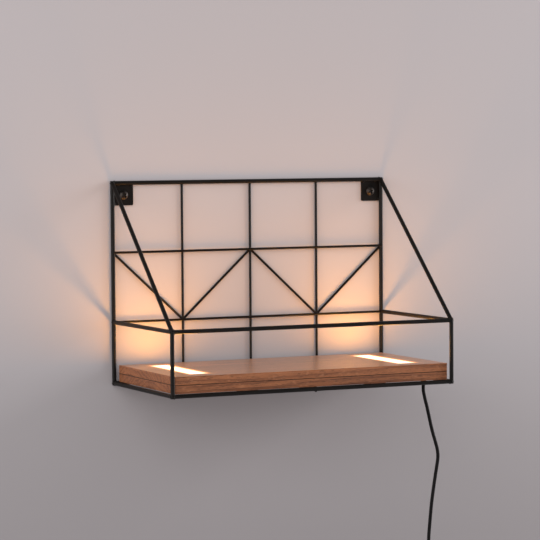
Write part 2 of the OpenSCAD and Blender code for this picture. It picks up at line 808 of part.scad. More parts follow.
// A strap round the top of the coil, with its free end folded over in front
module cord_tie() {
  half_angle = asin(tie_w / 2 / (coil_in_r - cord_d));
  inner_turn_r = coil_in_r + coil_pitch * (1 / 4 - half_angle / 360);
  low = (inner_turn_r - cord_d / 2) * cos(half_angle) - tie_play;
  high = coil_out_r - coil_pitch / 4 + cord_d / 2 + tie_play;
  deep = coil_back_y - cord_end[1] + cord_d + 2 * tie_play;
  color(RUBBER)
    translate([coil_x, (cord_end[1] + coil_back_y) / 2, coil_z + (low + high) / 2])
      rotate([90, 0, 90]) translate([0, 0, -tie_w / 2]) {
        linear_extrude(tie_w)
          difference() {
            rounded_rect(deep + 2 * tie_t, high - low + 2 * tie_t, tie_corner_r);
            rounded_rect(deep, high - low, tie_corner_r - tie_t);
          }
        translate([-deep / 2 - 2 * tie_t, -tie_end_l / 2, 0]) cube([tie_t, tie_end_l, tie_w]);
      }
}

// ---------------------------------------------------------------- cord switch
// Places a half of the switch's case: side -1 is the front half, 1 the back half
module at_switch(side)
  translate([cord_end[0], switch_split_y, switch_mid_z]) rotate([-90 * side, 0, 0]) children();

// One half of the case, with half of each tapered sleeve that grips the cord
module switch_half(side) {
  at_switch(side)
    moulded_half(switch_w, switch_l, switch_depth / 2, switch_corner_r, switch_edge_r);
  intersection() {
    for (end = [-1, 1])
      translate([cord_end[0], switch_split_y, switch_mid_z + end * switch_l / 2])
        rotate([90 - 90 * end, 0, 0]) cylinder(d1 = sleeve_root_d, d2 = sleeve_tip_d, h = sleeve_l);
    translate([cord_end[0] - sleeve_root_d, switch_split_y - (side < 0 ? sleeve_root_d : 0), switch_out_z])
      cube([2 * sleeve_root_d, sleeve_root_d, switch_l + 2 * sleeve_l]);
  }
}

module switch_back()
  color(BLACK)
    difference() {
      switch_half(1);
      at_switch(1)
        translate([0, 0, -1])
          rounded_plate(switch_w - 2 * case_wall, switch_l - 3 * case_wall,
                        switch_depth / 2 - case_wall + 1, switch_corner_r - case_wall);
    }

module switch_front()
  color(BLACK)
    difference() {
      switch_half(-1);
      at_switch(-1) shadow_groove(switch_w, switch_l, switch_corner_r);
      // well of the rocker, and holes for its pivot
      translate([cord_end[0] - rocker_w / 2 - rocker_play, switch_front_y - 1,
                 switch_mid_z - rocker_well_l / 2])
        cube([rocker_w + 2 * rocker_play, rocker_well + 1, rocker_well_l]);
      rocker_pin(rocker_pin_play);
    }

// Two metal blocks on the back of the case, each with two screws that clamp the cores
module switch_terminals()
  color(STEEL)
    for (end = [-1, 1])
      translate([cord_end[0], switch_split_y + switch_depth / 2 - case_wall,
                 switch_mid_z + end * (switch_l / 2 - terminal_inset)])
        rotate([90, 0, 0]) {
          translate([-terminal_w / 2, -terminal_l / 2, 0]) cube([terminal_w, terminal_l, terminal_t]);
          for (side = [-1, 1])
            translate([side * terminal_screw_x, 0, terminal_t])
              cylinder(d = terminal_screw_d, h = terminal_screw_h);
        }

// A rocker with a shallow V across its face, on a pin through the middle
module switch_rocker()
  color(BLACK) {
    translate([cord_end[0] - rocker_w / 2, rocker_pivot_y, switch_mid_z])
      rotate([-rocker_half_turn, 0, 0]) rotate([90, 0, 90])
        linear_extrude(rocker_w)
          polygon(concat(rocker_half(-1), [for (i = [4 : -1 : 0]) rocker_half(1)[i]]));
    rocker_pin(0);
  }

// One half of the rocker's outline, from its back to the middle of its face:
// depth behind the pivot, then height above it
function rocker_half(side) =
  let (face = -rocker_sunk - rocker_proud)
  [[rocker_back, side * rocker_l / 4], [-rocker_pin_d / 4, side * rocker_l / 2],
   [face, side * rocker_l / 2], [face, side * (rocker_l / 2 - rocker_lip)],
   [face + rocker_dip, side * rocker_flat]];

// The pin through the rocker; with play round and past its ends it is the hole for it
module rocker_pin(play) {
  reach = rocker_w / 2 + rocker_pin_l + (play > 0 ? rocker_play : 0);
  along_x(rocker_pin_d + 2 * play, cord_end[0] - reach, cord_end[0] + reach,
          rocker_pivot_y, switch_mid_z);
}

// ---------------------------------------------------------------- power supply
// Places what belongs to one half of the supply: side -1 is the half with the pins, 1 the cover
module at_supply(side)
  translate([supply_x, supply_y, supply_low_z + supply_l / 2]) rotate([-90 * side, 0, 0]) children();

// One half of the housing: a shell with finger grips, and half a hole for the boot
module supply_half(side)
  difference() {
    at_supply(side)
      moulded_half(supply_w, supply_l, supply_depth / 2, supply_corner_r, supply_edge_r);
    at_supply(side)
      moulded_half(supply_w - 2 * case_wall, supply_l - 2 * case_wall, supply_depth / 2 - case_wall,
                   supply_corner_r - case_wall, supply_edge_r - case_wall, 1);
    along_z(boot_neck_d, supply_top_z - 2 * case_wall, supply_top_z + case_wall, supply_x, supply_y);
    supply_grips();
  }

// Grooves across both sides, for the fingers that pull the supply out of its socket
module supply_grips()
  for (side = [-1, 1], i = [0 : grip_count - 1])
    along_y(grip_d, supply_y - supply_depth, supply_y + supply_depth,
            supply_x + side * (supply_w / 2 + grip_d / 2 - grip_depth),
            supply_low_z + grip_low + i * grip_pitch);

module supply_case()
  color(BLACK)
    difference() {
      supply_half(-1);
      at_supply(-1) shadow_groove(supply_w, supply_l, supply_corner_r);
      for (side = [-1, 1])
        along_y(pin_collar_d, supply_y - supply_depth, supply_y, supply_x + side * pin_spacing / 2, pin_z);
    }

// The cover has four posts that the circuit board rests on
module supply_cover()
  color(BLACK) {
    supply_half(1);
    for (x = [-1, 1], z = [-1, 1])
      along_y(post_d, pcb_y, supply_y + supply_depth / 2 - case_wall / 2,
              supply_x + x * (pcb_w / 2 - post_inset),
              supply_low_z + supply_l / 2 + z * (pcb_l / 2 - post_inset));
  }

// The circuit board that makes 12 V, with its transformer and a large capacitor
module supply_board()
  color(CIRCUIT)
    translate([supply_x, pcb_y, supply_low_z + supply_l / 2]) rotate([90, 0, 0]) {
      translate([-pcb_w / 2, -pcb_l / 2, 0]) cube([pcb_w, pcb_l, pcb_t]);
      translate([-transformer_w / 2, transformer_z - transformer_l / 2, pcb_t])
        cube([transformer_w, transformer_l, transformer_t]);
      translate([0, capacitor_z, pcb_t]) cylinder(d = capacitor_d, h = capacitor_h);
    }

// A soft boot with a taper and grooves that let it bend; its collar is trapped behind the wall
module supply_boot()
  color(RUBBER)
    translate([supply_x, supply_y, supply_top_z]) {
      difference() {
        cylinder(d1 = sleeve_root_d, d2 = sleeve_tip_d, h = boot_l);
        for (i = [1 : boot_grooves])
          translate([0, 0, boot_l - i * boot_groove_pitch])
            difference() {
              cylinder(d = 2 * sleeve_root_d, h = boot_groove_w);
              translate([0, 0, -1]) cylinder(d = boot_core_d, h = boot_groove_w + 2);
            }
      }
      translate([0, 0, -case_wall]) cylinder(d = boot_neck_d, h = case_wall);
      translate([0, 0, -case_wall - boot_collar_t]) cylinder(d = sleeve_root_d, h = boot_collar_t);
    }

// Two round pins with domed tips, each with a collar in the wall and a shoulder behind it
module supply_pins()
  color(STEEL)
    for (side = [-1, 1])
      translate([supply_x + side * pin_spacing / 2, supply_y - supply_depth / 2, pin_z])
        rotate([90, 0, 0]) {
          cylinder(d = pin_d, h = pin_l - pin_d / 2);
          translate([0, 0, -case_wall]) cylinder(d = pin_collar_d, h = case_wall);
          translate([0, 0, pin_l - pin_d / 2]) sphere(d = pin_d);
          translate([0, 0, -case_wall - pin_shoulder_l]) cylinder(d = pin_shoulder_d, h = pin_shoulder_l);
        }

top_rail();
back_bottom_rail();
left_upright();
right_upright();
left_grid_upright();
centre_grid_upright();
right_grid_upright();
mid_grid_rail();
low_grid_rail();
brace_1();
brace_2();
brace_3();
brace_4();
front_bottom_rail();
left_bottom_rail();
right_bottom_rail();
centre_bottom_rod();
left_front_post();
right_front_post();
front_guard_rail();
left_guard_rail();
right_guard_rail();
left_stay();
right_stay();
left_wall_tab();
right_wall_tab();
wall_screws();
left_support_bar();
right_support_bar();
board_screws();
lower_board();
upper_board();
left_diffuser();
right_diffuser();
left_heat_plate();
right_heat_plate();
left_led_strip();
right_led_strip();
link_wires();
cord_gland();
cord_tail();
cord_cores();
cord_drop();
cord_to_coil();
cord_coil();
cord_to_plug();
cord_tie();
switch_back();
switch_front();
switch_rocker();
switch_terminals();
supply_case();
supply_cover();
supply_pins();
supply_board();
supply_boot();
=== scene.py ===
# %% [markdown]
# # A wall lamp with a shelf, dressed for the camera
# The lamp is a welded frame of black rods that hangs from two screws. It carries a wooden board
# of two layers with two lit windows, and a thin black cord leaves the board at its right end.
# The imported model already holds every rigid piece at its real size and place. This script gives
# those pieces their finishes, and adds what only shows close up: the cord as one unbroken tube,
# the strap on its coil, the threads of the wall screws and the beads of weld.
# Lengths are in metres. X runs to the right, Y into the wall and Z up.

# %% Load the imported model
import json
import math

import bpy
import numpy as np
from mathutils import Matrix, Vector

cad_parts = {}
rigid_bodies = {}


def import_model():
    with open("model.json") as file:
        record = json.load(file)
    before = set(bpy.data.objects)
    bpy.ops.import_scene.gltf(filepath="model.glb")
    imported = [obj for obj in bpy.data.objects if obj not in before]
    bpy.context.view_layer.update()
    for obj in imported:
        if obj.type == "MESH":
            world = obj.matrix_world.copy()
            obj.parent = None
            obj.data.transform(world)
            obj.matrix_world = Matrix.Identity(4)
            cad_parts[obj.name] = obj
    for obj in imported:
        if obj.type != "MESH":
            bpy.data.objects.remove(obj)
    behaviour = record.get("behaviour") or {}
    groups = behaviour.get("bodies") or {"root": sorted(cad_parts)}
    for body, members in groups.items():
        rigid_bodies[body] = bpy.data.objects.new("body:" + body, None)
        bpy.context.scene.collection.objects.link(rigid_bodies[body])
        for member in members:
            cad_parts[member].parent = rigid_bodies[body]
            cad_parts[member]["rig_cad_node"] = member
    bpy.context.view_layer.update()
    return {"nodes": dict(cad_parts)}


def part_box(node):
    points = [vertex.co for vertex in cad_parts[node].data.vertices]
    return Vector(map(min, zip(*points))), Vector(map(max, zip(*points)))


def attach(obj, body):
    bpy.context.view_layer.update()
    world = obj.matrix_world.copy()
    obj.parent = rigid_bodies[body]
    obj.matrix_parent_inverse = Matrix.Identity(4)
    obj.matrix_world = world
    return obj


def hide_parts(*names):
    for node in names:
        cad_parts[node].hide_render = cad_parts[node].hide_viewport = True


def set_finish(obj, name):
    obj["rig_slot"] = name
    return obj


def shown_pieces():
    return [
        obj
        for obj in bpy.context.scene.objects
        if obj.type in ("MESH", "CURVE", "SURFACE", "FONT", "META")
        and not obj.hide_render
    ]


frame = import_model()

MM = 0.001
print("pieces in the model:", len(frame["nodes"]))

# %% [markdown]
# ## The camera
# The photograph was taken from the left, a little above the board, with a long lens. Its place
# was found from the corners of the frame, which has known sizes, so the rods fall on the rods of
# the photograph. A lens this long keeps upright rods almost parallel, as a product picture does.
# A camera placed by eye would be a few pixels off, and on rods this thin that shows.

# %% The camera
CAMERA_PLACE = (-1.02023, -2.20528, 0.05183)
CAMERA_DOWN = 3.0454
CAMERA_ROLL = 0.3955
CAMERA_YAW = -25.3275
SENSOR_W = 36.0
LENS = 161.505

camera = bpy.data.objects.new("camera", bpy.data.cameras.new("camera"))
bpy.context.scene.collection.objects.link(camera)
bpy.context.scene.camera = camera
camera.location = CAMERA_PLACE
camera.rotation_euler = [math.radians(a) for a in (90 - CAMERA_DOWN, CAMERA_ROLL, CAMERA_YAW)]
camera.data.sensor_width = SENSOR_W
camera.data.lens = LENS
bpy.context.scene.view_settings.view_transform = "Standard"
print("camera", CAMERA_PLACE, "lens", LENS, "mm")

# %% [markdown]
# ## Surfaces from grids of points
# Every new piece here is a surface worked out with numpy. Blender's own shapes and modifiers
# could make most of them, but a formula puts each point where the model's sizes say. A grid has
# rows and columns of points, as cloth has threads, and its faces join each point to its
# neighbours. Rows or columns that close on themselves make a tube, or a ring. A closed surface
# has a volume, whose sign says whether its faces point outwards, so the faces are turned round
# where it comes out negative.

# %% Faces of a grid
def grid_part(grid, ring=False):
    """Points and faces of a grid whose columns close round: a ring closes its rows too, and
    otherwise one many-sided face shuts each end. The volume's sign turns the faces outwards."""
    rows, columns, _ = grid.shape
    index = np.arange(rows * columns).reshape(rows, columns)
    here = index if ring else index[:-1]
    ahead = np.roll(index, -1, axis=0) if ring else index[1:]
    corners = [here, np.roll(here, -1, axis=1), np.roll(ahead, -1, axis=1), ahead]
    quads = np.stack(corners, axis=-1).reshape(-1, 4)
    points = grid.reshape(-1, 3)
    a, b, c, d = (points[quads[:, k]] - points.mean(axis=0) for k in range(4))
    volume = (np.cross(c - a, d - b) * (a + b + c + d)).sum()
    faces = quads.tolist()
    if not ring:
        faces += [index[0, ::-1].tolist(), index[-1].tolist()]
    return points, [face[::-1] for face in faces] if volume < 0 else faces


# %% A piece from its parts
SHARP_DEG = 50


def add_piece(name, parts, slot, lengthwise=None):
    """One object from the points and faces of its parts. It sits at the origin and rides on the
    lamp. lengthwise holds two numbers for each point, kept as a UV map for finishes that follow
    it."""
    starts = np.cumsum([0] + [len(points) for points, _ in parts])
    faces = [[k + int(start) for k in face]
             for (_, part), start in zip(parts, starts) for face in part]
    mesh = bpy.data.meshes.new(name)
    mesh.from_pydata(np.concatenate([points for points, _ in parts]).tolist(), [], faces)
    mesh.shade_smooth()
    mesh.set_sharp_from_angle(angle=math.radians(SHARP_DEG))
    if lengthwise is not None:
        corner = np.zeros(len(mesh.loops), int)
        mesh.loops.foreach_get("vertex_index", corner)
        mesh.uv_layers.new(name="lengthwise").data.foreach_set("uv", lengthwise[corner].ravel())
    piece = bpy.data.objects.new(name, mesh)
    bpy.context.scene.collection.objects.link(piece)
    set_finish(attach(piece, "lamp"), slot)
    print(f"{name}: {len(mesh.vertices)} points, {len(mesh.polygons)} faces")
    return piece


# %% Directions, tubes and sizes
def unit(vectors):
    """Vectors divided by their own lengths."""
    return vectors / np.linalg.norm(vectors, axis=-1, keepdims=True)


def eased(s):
    """A smooth rise from 0 to 1 that is level at both ends: 3 s ^ 2 - 2 s ^ 3."""
    return s * s * (3 - 2 * s)


def tube(path, radius, sides, square_to, ring=False):
    """Rings of points round a path: path + radius * (cos turn * u + sin turn * v), where u is
    square to the path and to square_to, and v completes the pair. radius may change on the way."""
    if ring:
        heading = unit(np.roll(path, -1, axis=0) - np.roll(path, 1, axis=0))
    else:
        heading = unit(np.gradient(path, axis=0))
    u = unit(np.cross(heading, square_to))
    v = np.cross(heading, u)
    turn = 2 * np.pi * (np.arange(sides) + 0.5) / sides
    spokes = np.cos(turn)[None, :, None] * u[:, None] + np.sin(turn)[None, :, None] * v[:, None]
    return path[:, None] + np.reshape(radius, (-1, 1, 1)) * spokes


def size_of(node):
    low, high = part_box(node)
    return np.array(high - low)


def middle_of(node):
    low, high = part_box(node)
    return np.array(high + low) / 2


# %% [markdown]
# ## The cord
# A low-voltage lead leaves the board through a rubber bush and hangs down the wall, with the
# gentle kinks of a lead that was folded in its box. The photograph shows the first 155 mm. What
# it doesn't show is put away: the lead runs through its switch, is wound into a neat coil of
# twelve turns held by a strap, and ends in the plug-in supply. The whole lead is one tube, since
# a real one has no seams. A Blender curve with a round bevel could make it too, but a mesh can
# carry the distance along the cord for its finish. The listed points are joined by a curve
# that passes through each of them, and the coil is a spiral that winds in and out, climbing a
# layer at each reversal.

# %% The route of the cord
CORD_D = 3.4 * MM
CORD_SIDES = 20
CORD_ROUTE = np.array([
    (137.0, -111.0, -189.0), (137.0, -111.0, -195.5), (138.8, -111.0, -204.0),
    (141.2, -111.1, -213.0), (143.3, -111.1, -222.0), (145.4, -111.2, -231.0),
    (147.9, -111.2, -240.0), (150.4, -111.3, -248.0), (152.4, -111.4, -255.5),
    (152.9, -111.5, -263.0), (151.6, -111.6, -271.5), (149.9, -111.7, -280.5),
    (148.3, -111.8, -289.5), (146.7, -111.9, -299.0), (145.2, -112.0, -309.0),
    (144.1, -112.0, -319.0), (143.0, -112.0, -330.0), (142.0, -112.0, -341.5),
    (142.0, -112.0, -351.0),
]) * MM
ROUTE_STEPS = 6
HANG_STEPS = 30
ENTRY_STEPS = 8
COIL_LAYERS = 4
LAYER_TURNS = 3
REVERSAL_TURNS = 0.5
TURN_STEPS = 72
COIL_GAP = 0.5 * MM
COIL_PITCH = CORD_D + COIL_GAP
COIL_MID_R = 20 * MM
COIL_CLEAR = 2 * MM
SWITCH_LOW_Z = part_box("switch_front")[0].z

out_r = COIL_MID_R + LAYER_TURNS * COIL_PITCH / 2
in_r = COIL_MID_R - LAYER_TURNS * COIL_PITCH / 2
hang_x, hang_y, _ = CORD_ROUTE[-1]
coil_x = hang_x - out_r
coil_z = SWITCH_LOW_Z - COIL_CLEAR - out_r - CORD_D / 2


def curve_through(points, steps):
    """A smooth curve through every point: in each span the weights of the four nearest points
    are the cubic ones that give it the slope from neighbour to neighbour."""
    ends = np.concatenate([2 * points[:1] - points[1:2], points, 2 * points[-1:] - points[-2:-1]])
    before, here, there, after = (ends[k:len(ends) - 3 + k][:, None] for k in range(4))
    t = (np.arange(steps) / steps)[None, :, None]
    curve = here + t / 2 * ((there - before) + t * (
        (2 * before - 5 * here + 4 * there - after) + t * (3 * here - before - 3 * there + after)))
    return np.concatenate([curve.reshape(-1, 3), points[-1:]])


def coil_curve(turns):
    """A spiral in and out: its radius goes from the outer to the inner one over a layer's turns
    and back over the next, and its depth climbs one pitch in the half turn of each reversal."""
    m = turns % (2 * LAYER_TURNS)
    inward = np.minimum(m, 2 * LAYER_TURNS - m) / LAYER_TURNS
    reversal = np.clip(np.round(turns / LAYER_TURNS), 1, COIL_LAYERS - 1)
    climb = np.clip((turns - reversal * LAYER_TURNS) / REVERSAL_TURNS + 0.5, 0, 1)
    y = hang_y + (reversal - 1 + eased(climb)) * COIL_PITCH
    r = out_r - (out_r - in_r) * inward
    a = 2 * np.pi * turns
    return np.stack([coil_x + r * np.cos(a), y, coil_z - r * np.sin(a)], axis=1)


coil_turns = COIL_LAYERS * LAYER_TURNS
coil = coil_curve(np.linspace(0, coil_turns, coil_turns * TURN_STEPS + 1))
supply_entry = np.array([*coil[-1, :2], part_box("cord_to_plug")[0].z])
cord_path = np.concatenate([
    curve_through(CORD_ROUTE, ROUTE_STEPS),
    np.linspace(CORD_ROUTE[-1], coil[0], HANG_STEPS + 1)[1:-1],
    coil,
    np.linspace(coil[-1], supply_entry, ENTRY_STEPS + 1)[1:],
])
cord_run = np.concatenate([[0], np.cumsum(np.linalg.norm(np.diff(cord_path, axis=0), axis=1))])
coil_l = np.linalg.norm(np.diff(coil, axis=0), axis=1).sum()
print(f"the cord is {cord_run[-1]:.3f} m long, and {coil_l:.3f} m of it is the coil")

# %% The cord's tube
ALONG_Y = np.array([0.0, 1.0, 0.0])
cord_grid = tube(cord_path, CORD_D / 2, CORD_SIDES, ALONG_Y)
cord_uv = np.stack(np.broadcast_arrays(
    cord_run[:, None], (np.arange(CORD_SIDES) / CORD_SIDES * np.pi * CORD_D)[None]), axis=-1)
cord = add_piece("cord", [grid_part(cord_grid)], "cord_sheath", lengthwise=cord_uv.reshape(-1, 2))
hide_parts("cord_drop", "cord_to_coil", "cord_coil", "cord_to_plug")

# %% [markdown]
# ## The strap on the coil
# A hook-and-loop strap goes once round the top of the coil and laps over its own start in front.
# It could be a strip bent by modifiers, but as a formula its lap gets an exact place and its
# threads a direction. It is a flat section with rounded edges, carried along a path with four
# round corners, which steps out by its own thickness where the end lies over the start. The path
# lies half a thickness inside the strap's box, and one more in front, where the lap needs room.

# %% The strap's path
STRAP_T = 1.2 * MM
STRAP_CORNER_R = 2.5 * MM
STRAP_LAP = 10 * MM
STRAP_RAMP_L = 4 * MM
STRAP_STEPS = 260

strap_low, strap_high = (np.array(corner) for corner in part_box("cord_tie"))
strap_w = strap_high[0] - strap_low[0]
strap_deep = strap_high[1] - strap_low[1] - 2 * STRAP_T
strap_tall = strap_high[2] - strap_low[2] - STRAP_T
strap_lap_start = 2 * (strap_deep + strap_tall) - (8 - 2 * np.pi) * STRAP_CORNER_R


def rounded_loop(run, deep, high, r):
    """Place and outward direction at a distance run along a rectangle with round corners. It
    starts at the front, at the bottom of the straight part, and rises: each side is a straight
    and then a quarter turn, and whole laps repeat."""
    sides = np.array([high - 2 * r, deep - 2 * r, high - 2 * r, deep - 2 * r])
    starts = np.concatenate([[0], np.cumsum(sides + np.pi * r / 2)])
    s = run % starts[-1]
    side = np.clip(np.searchsorted(starts, s, side="right") - 1, 0, 3)
    on = s - starts[side]
    turn = np.clip((on - sides[side]) / r, 0, np.pi / 2)
    forward = np.minimum(on, sides[side])
    angle = side * np.pi / 2 + turn
    out = np.stack([-np.cos(angle), np.sin(angle)], axis=1)
    ahead = np.array([(0, 1), (1, 0), (0, -1), (-1, 0)])[side]
    hub = np.array([(r, r), (r, high - r), (deep - r, high - r), (deep - r, r)])
    return hub[side] + ahead * forward[:, None] + r * out, out


strap_run = np.linspace(0, strap_lap_start + STRAP_LAP, STRAP_STEPS)
strap_place, strap_out = rounded_loop(strap_run, strap_deep, strap_tall, STRAP_CORNER_R)
ramp = np.clip((strap_run - strap_lap_start) / STRAP_RAMP_L + 1, 0, 1)
strap_place = strap_place + strap_out * (STRAP_T * eased(ramp))[:, None]
print(f"the strap is {strap_run[-1]:.3f} m long")

# %% The strap's section, and the strap
SECTION_STEPS = 28
SECTION_POWER = 0.25
TAPER_L = 1.2 * MM
TAPER_LEAST = 0.55


def squared(wave):
    """A cosine or sine pushed towards a square wave: its sign times its size to a low power."""
    return np.sign(wave) * np.abs(wave) ** SECTION_POWER


around = 2 * np.pi * np.arange(SECTION_STEPS) / SECTION_STEPS
across = squared(np.cos(around)) * strap_w / 2
through = squared(np.sin(around)) * STRAP_T / 2
from_end = np.minimum(strap_run, strap_run[-1] - strap_run)
taper = np.clip(from_end / TAPER_L, TAPER_LEAST, 1) ** 0.5
strap_grid = np.stack(np.broadcast_arrays(
    (strap_low[0] + strap_high[0]) / 2 + taper[:, None] * across[None],
    strap_low[1] + 1.5 * STRAP_T + strap_place[:, :1] + strap_out[:, :1] * through[None],
    strap_low[2] + STRAP_T / 2 + strap_place[:, 1:] + strap_out[:, 1:] * through[None]), axis=-1)
strap_uv = np.stack(np.broadcast_arrays(strap_run[:, None], across[None]), axis=-1).reshape(-1, 2)
strap = add_piece("coil_strap", [grid_part(strap_grid)], "strap", lengthwise=strap_uv)
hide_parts("cord_tie")

# %% [markdown]
# ## The wall screws
# Each pan-head screw is turned on a lathe, so it is a profile carried round its axis: a domed
# head, a smooth neck in the tab and a thread in the wall. The thread is a ridge that climbs one
# pitch for each turn, so the radius depends on the height less the turn. A Screw modifier could
# turn it too, but this way head, neck and thread are one closed surface. The cross in the head
# is pressed in: every point of the dome that lies inside the cross is pushed back.

# %% A screw's head
TAB_T = 1.5 * MM
HEAD_H = 2.8 * MM
HEAD_EDGE_H = 0.5 * MM
HEAD_ROWS = 46
HEAD_FIRST_R = (0.02 * MM, 0.15 * MM)
SCREW_SIDES = 128
CROSS_ARM_R = 2.5 * MM
CROSS_HALF_W = 0.7 * MM
CROSS_WALL_W = 0.25 * MM
CROSS_EASE_L = 0.9 * MM
CROSS_DEPTH = 1.7 * MM

screw_low, screw_high = (np.array(corner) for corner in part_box("wall_screws"))
head_r = (screw_high[2] - screw_low[2]) / 2
screw_x = screw_high[0] - head_r


def screw_head(cross_turn):
    """Radius and height of a head: a rim, then a dome that is an arc of a circle. Inside the
    cross, where the nearer of the two arms is less than its half width away, the height drops
    by a depth that eases off towards the ends of the arms."""
    r = np.concatenate([HEAD_FIRST_R[:1], np.linspace(HEAD_FIRST_R[1], head_r, HEAD_ROWS)])[:, None]
    a = 2 * np.pi * np.arange(SCREW_SIDES)[None] / SCREW_SIDES
    dome_h = HEAD_H - HEAD_EDGE_H
    ball_r = (head_r ** 2 + dome_h ** 2) / (2 * dome_h)
    height = HEAD_EDGE_H + np.sqrt(ball_r ** 2 - r ** 2) - (ball_r - dome_h)
    off = np.minimum(np.abs(r * np.cos(a - cross_turn)), np.abs(r * np.sin(a - cross_turn)))
    wall = np.clip((CROSS_HALF_W - off) / CROSS_WALL_W + 0.5, 0, 1)
    end = np.clip((CROSS_ARM_R - r) / CROSS_EASE_L, 0, 1)
    return r, a, height - CROSS_DEPTH * eased(wall) * end ** 0.5


print(f"screw heads: {2 * head_r:.4f} m across, {2 * screw_x:.3f} m apart")

# %% The screws
NECK_R = 1.8 * MM
NECK_END = 0.05 * MM
THREAD_R = 2.25 * MM
THREAD_ROOT_R = 1.65 * MM
THREAD_PITCH = 1.8 * MM
THREAD_ROWS = 330
RIDGE_HALF = 0.3
TIP_L = 5 * MM
TIP_LEAST = 0.02
CROSS_TURNS = (45, 18)


def turned(x, radius, y, a):
    """A profile of radius and y, carried round by the angles a about an axis along Y at x."""
    return np.stack(np.broadcast_arrays(x + radius * np.cos(a), y, radius * np.sin(a)), axis=-1)


def wall_screw(x, cross_turn):
    """A head, its flat underside, a neck and a thread, as one closed surface. The thread's ridge
    is where the depth in pitches, less the turn, is halfway between two whole numbers, and the
    radius shrinks evenly to the tip."""
    r, a, height = screw_head(cross_turn)
    length = screw_high[1]
    neck = [-TAB_T, -TAB_T, -NECK_END]
    depth = np.concatenate([neck, np.linspace(0, length, THREAD_ROWS)])[:, None]
    climb = (depth / THREAD_PITCH - a / (2 * np.pi)) % 1
    ridge = np.clip(1 - np.abs(climb - 0.5) / RIDGE_HALF, 0, 1)
    sharp = np.clip((length - depth) / TIP_L, TIP_LEAST, 1)
    radius = (THREAD_ROOT_R + (THREAD_R - THREAD_ROOT_R) * ridge) * sharp
    radius[0] = head_r
    radius[1:3] = NECK_R
    cap = turned(x, r, -TAB_T - height, a)
    shank = turned(x, radius, depth, a)
    return grid_part(np.concatenate([cap, shank]))


screws = add_piece("threaded_wall_screws", [
    wall_screw(x, math.radians(turn)) for x, turn in zip((-screw_x, screw_x), CROSS_TURNS)],
    "screw_steel")
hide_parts("wall_screws")

# %% [markdown]
# ## Beads of weld
# The frame is welded from straight rods, and under the paint a small bead follows each joint.
# A plain ring would miss the joint's line, which bends with both skins, so it is worked out: the
# line of a joint is where the skin of one rod meets the skin of the other. Take a point on
# the skin of the ending rod and slide it along that rod until it is one radius away from the
# axis of the rod that runs through. Doing so for every turn round the rod gives a closed line,
# and a thin tube along it, slightly uneven as a welder's hand makes it, is the bead.

# %% The rods and where they lie
ROD_R = size_of("top_rail")[2] / 2
WIRE_R = size_of("centre_grid_upright")[0] / 2


def straight_rod(node, radius):
    """A rod that lies along X, Y or Z: the middle of its box, its direction and its radius."""
    direction = np.zeros(3)
    direction[size_of(node).argmax()] = 1.0
    return middle_of(node), direction, radius


def slanting_rod(start, stop, radius):
    start, stop = np.array(start), np.array(stop)
    return (start + stop) / 2, unit(stop - start), radius


RODS = {name: straight_rod(name, ROD_R) for name in (
    "top_rail", "back_bottom_rail", "left_upright", "right_upright", "front_bottom_rail",
    "front_guard_rail", "left_front_post", "right_front_post", "left_bottom_rail",
    "right_bottom_rail", "left_guard_rail", "right_guard_rail", "centre_bottom_rod")}
RODS.update({name: straight_rod(name, WIRE_R) for name in (
    "left_grid_upright", "centre_grid_upright", "right_grid_upright",
    "mid_grid_rail", "low_grid_rail")})
half_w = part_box("top_rail")[1].x
back_y, top_z = middle_of("top_rail")[1:]
front_y, guard_z = middle_of("front_guard_rail")[1:]
bottom_z = middle_of("front_bottom_rail")[2]
grid_step, grid_y, _ = middle_of("right_grid_upright")
mid_z, low_z = middle_of("mid_grid_rail")[2], middle_of("low_grid_rail")[2]
for side, x in (("left", -half_w), ("right", half_w)):
    RODS[f"{side}_stay"] = slanting_rod((x, back_y, top_z), (x, front_y, guard_z), ROD_R)
BRACE_ENDS = {"brace_1": (-half_w, -grid_step), "brace_2": (0, -grid_step),
              "brace_3": (0, grid_step), "brace_4": (half_w, grid_step)}
for name, (high_x, low_x) in BRACE_ENDS.items():
    RODS[name] = slanting_rod((high_x, grid_y, mid_z), (low_x, grid_y, low_z), WIRE_R)
print(len(RODS), "rods")

# %% The line of a joint and the bead along it
BEAD_POINTS = 56
BEAD_SIDES = 9
DOWN = np.array([0.0, 0.0, -1.0])


def joint_line(through, ending):
    """Closed line where an ending rod meets the skin of a through rod. n is the distance of a
    point from the plane of both directions, k the one square to it; k * k + n * n = radius ^ 2."""
    at, along, radius = RODS[through]
    end_at, end_along, end_r = RODS[ending]
    n_way = unit(np.cross(along, end_along))
    k_way = np.cross(n_way, along)
    if (end_at - at) @ k_way < 0:
        k_way = -k_way
    m_way = np.cross(end_along, n_way)
    turn = 2 * np.pi * np.arange(BEAD_POINTS) / BEAD_POINTS
    n = end_r * np.cos(turn) + (end_at - at) @ n_way
    k = np.sqrt(np.maximum(radius ** 2 - n ** 2, 0))
    aside = end_r * np.sin(turn) * (m_way @ k_way)
    slid = (k - aside - (end_at - at) @ k_way) / (end_along @ k_way)
    skin = end_r * (np.cos(turn)[:, None] * n_way + np.sin(turn)[:, None] * m_way)
    return end_at + slid[:, None] * end_along + skin


def flat_line(ending, z):
    """Closed line where a slanting rod is cut off level at height z."""
    end_at, end_along, end_r = RODS[ending]
    n_way = unit(np.cross(DOWN, end_along))
    m_way = np.cross(end_along, n_way)
    turn = 2 * np.pi * np.arange(BEAD_POINTS) / BEAD_POINTS
    skin = end_at + end_r * (np.cos(turn)[:, None] * n_way + np.sin(turn)[:, None] * m_way)
    return skin + ((z - skin[:, 2]) / end_along[2])[:, None] * end_along


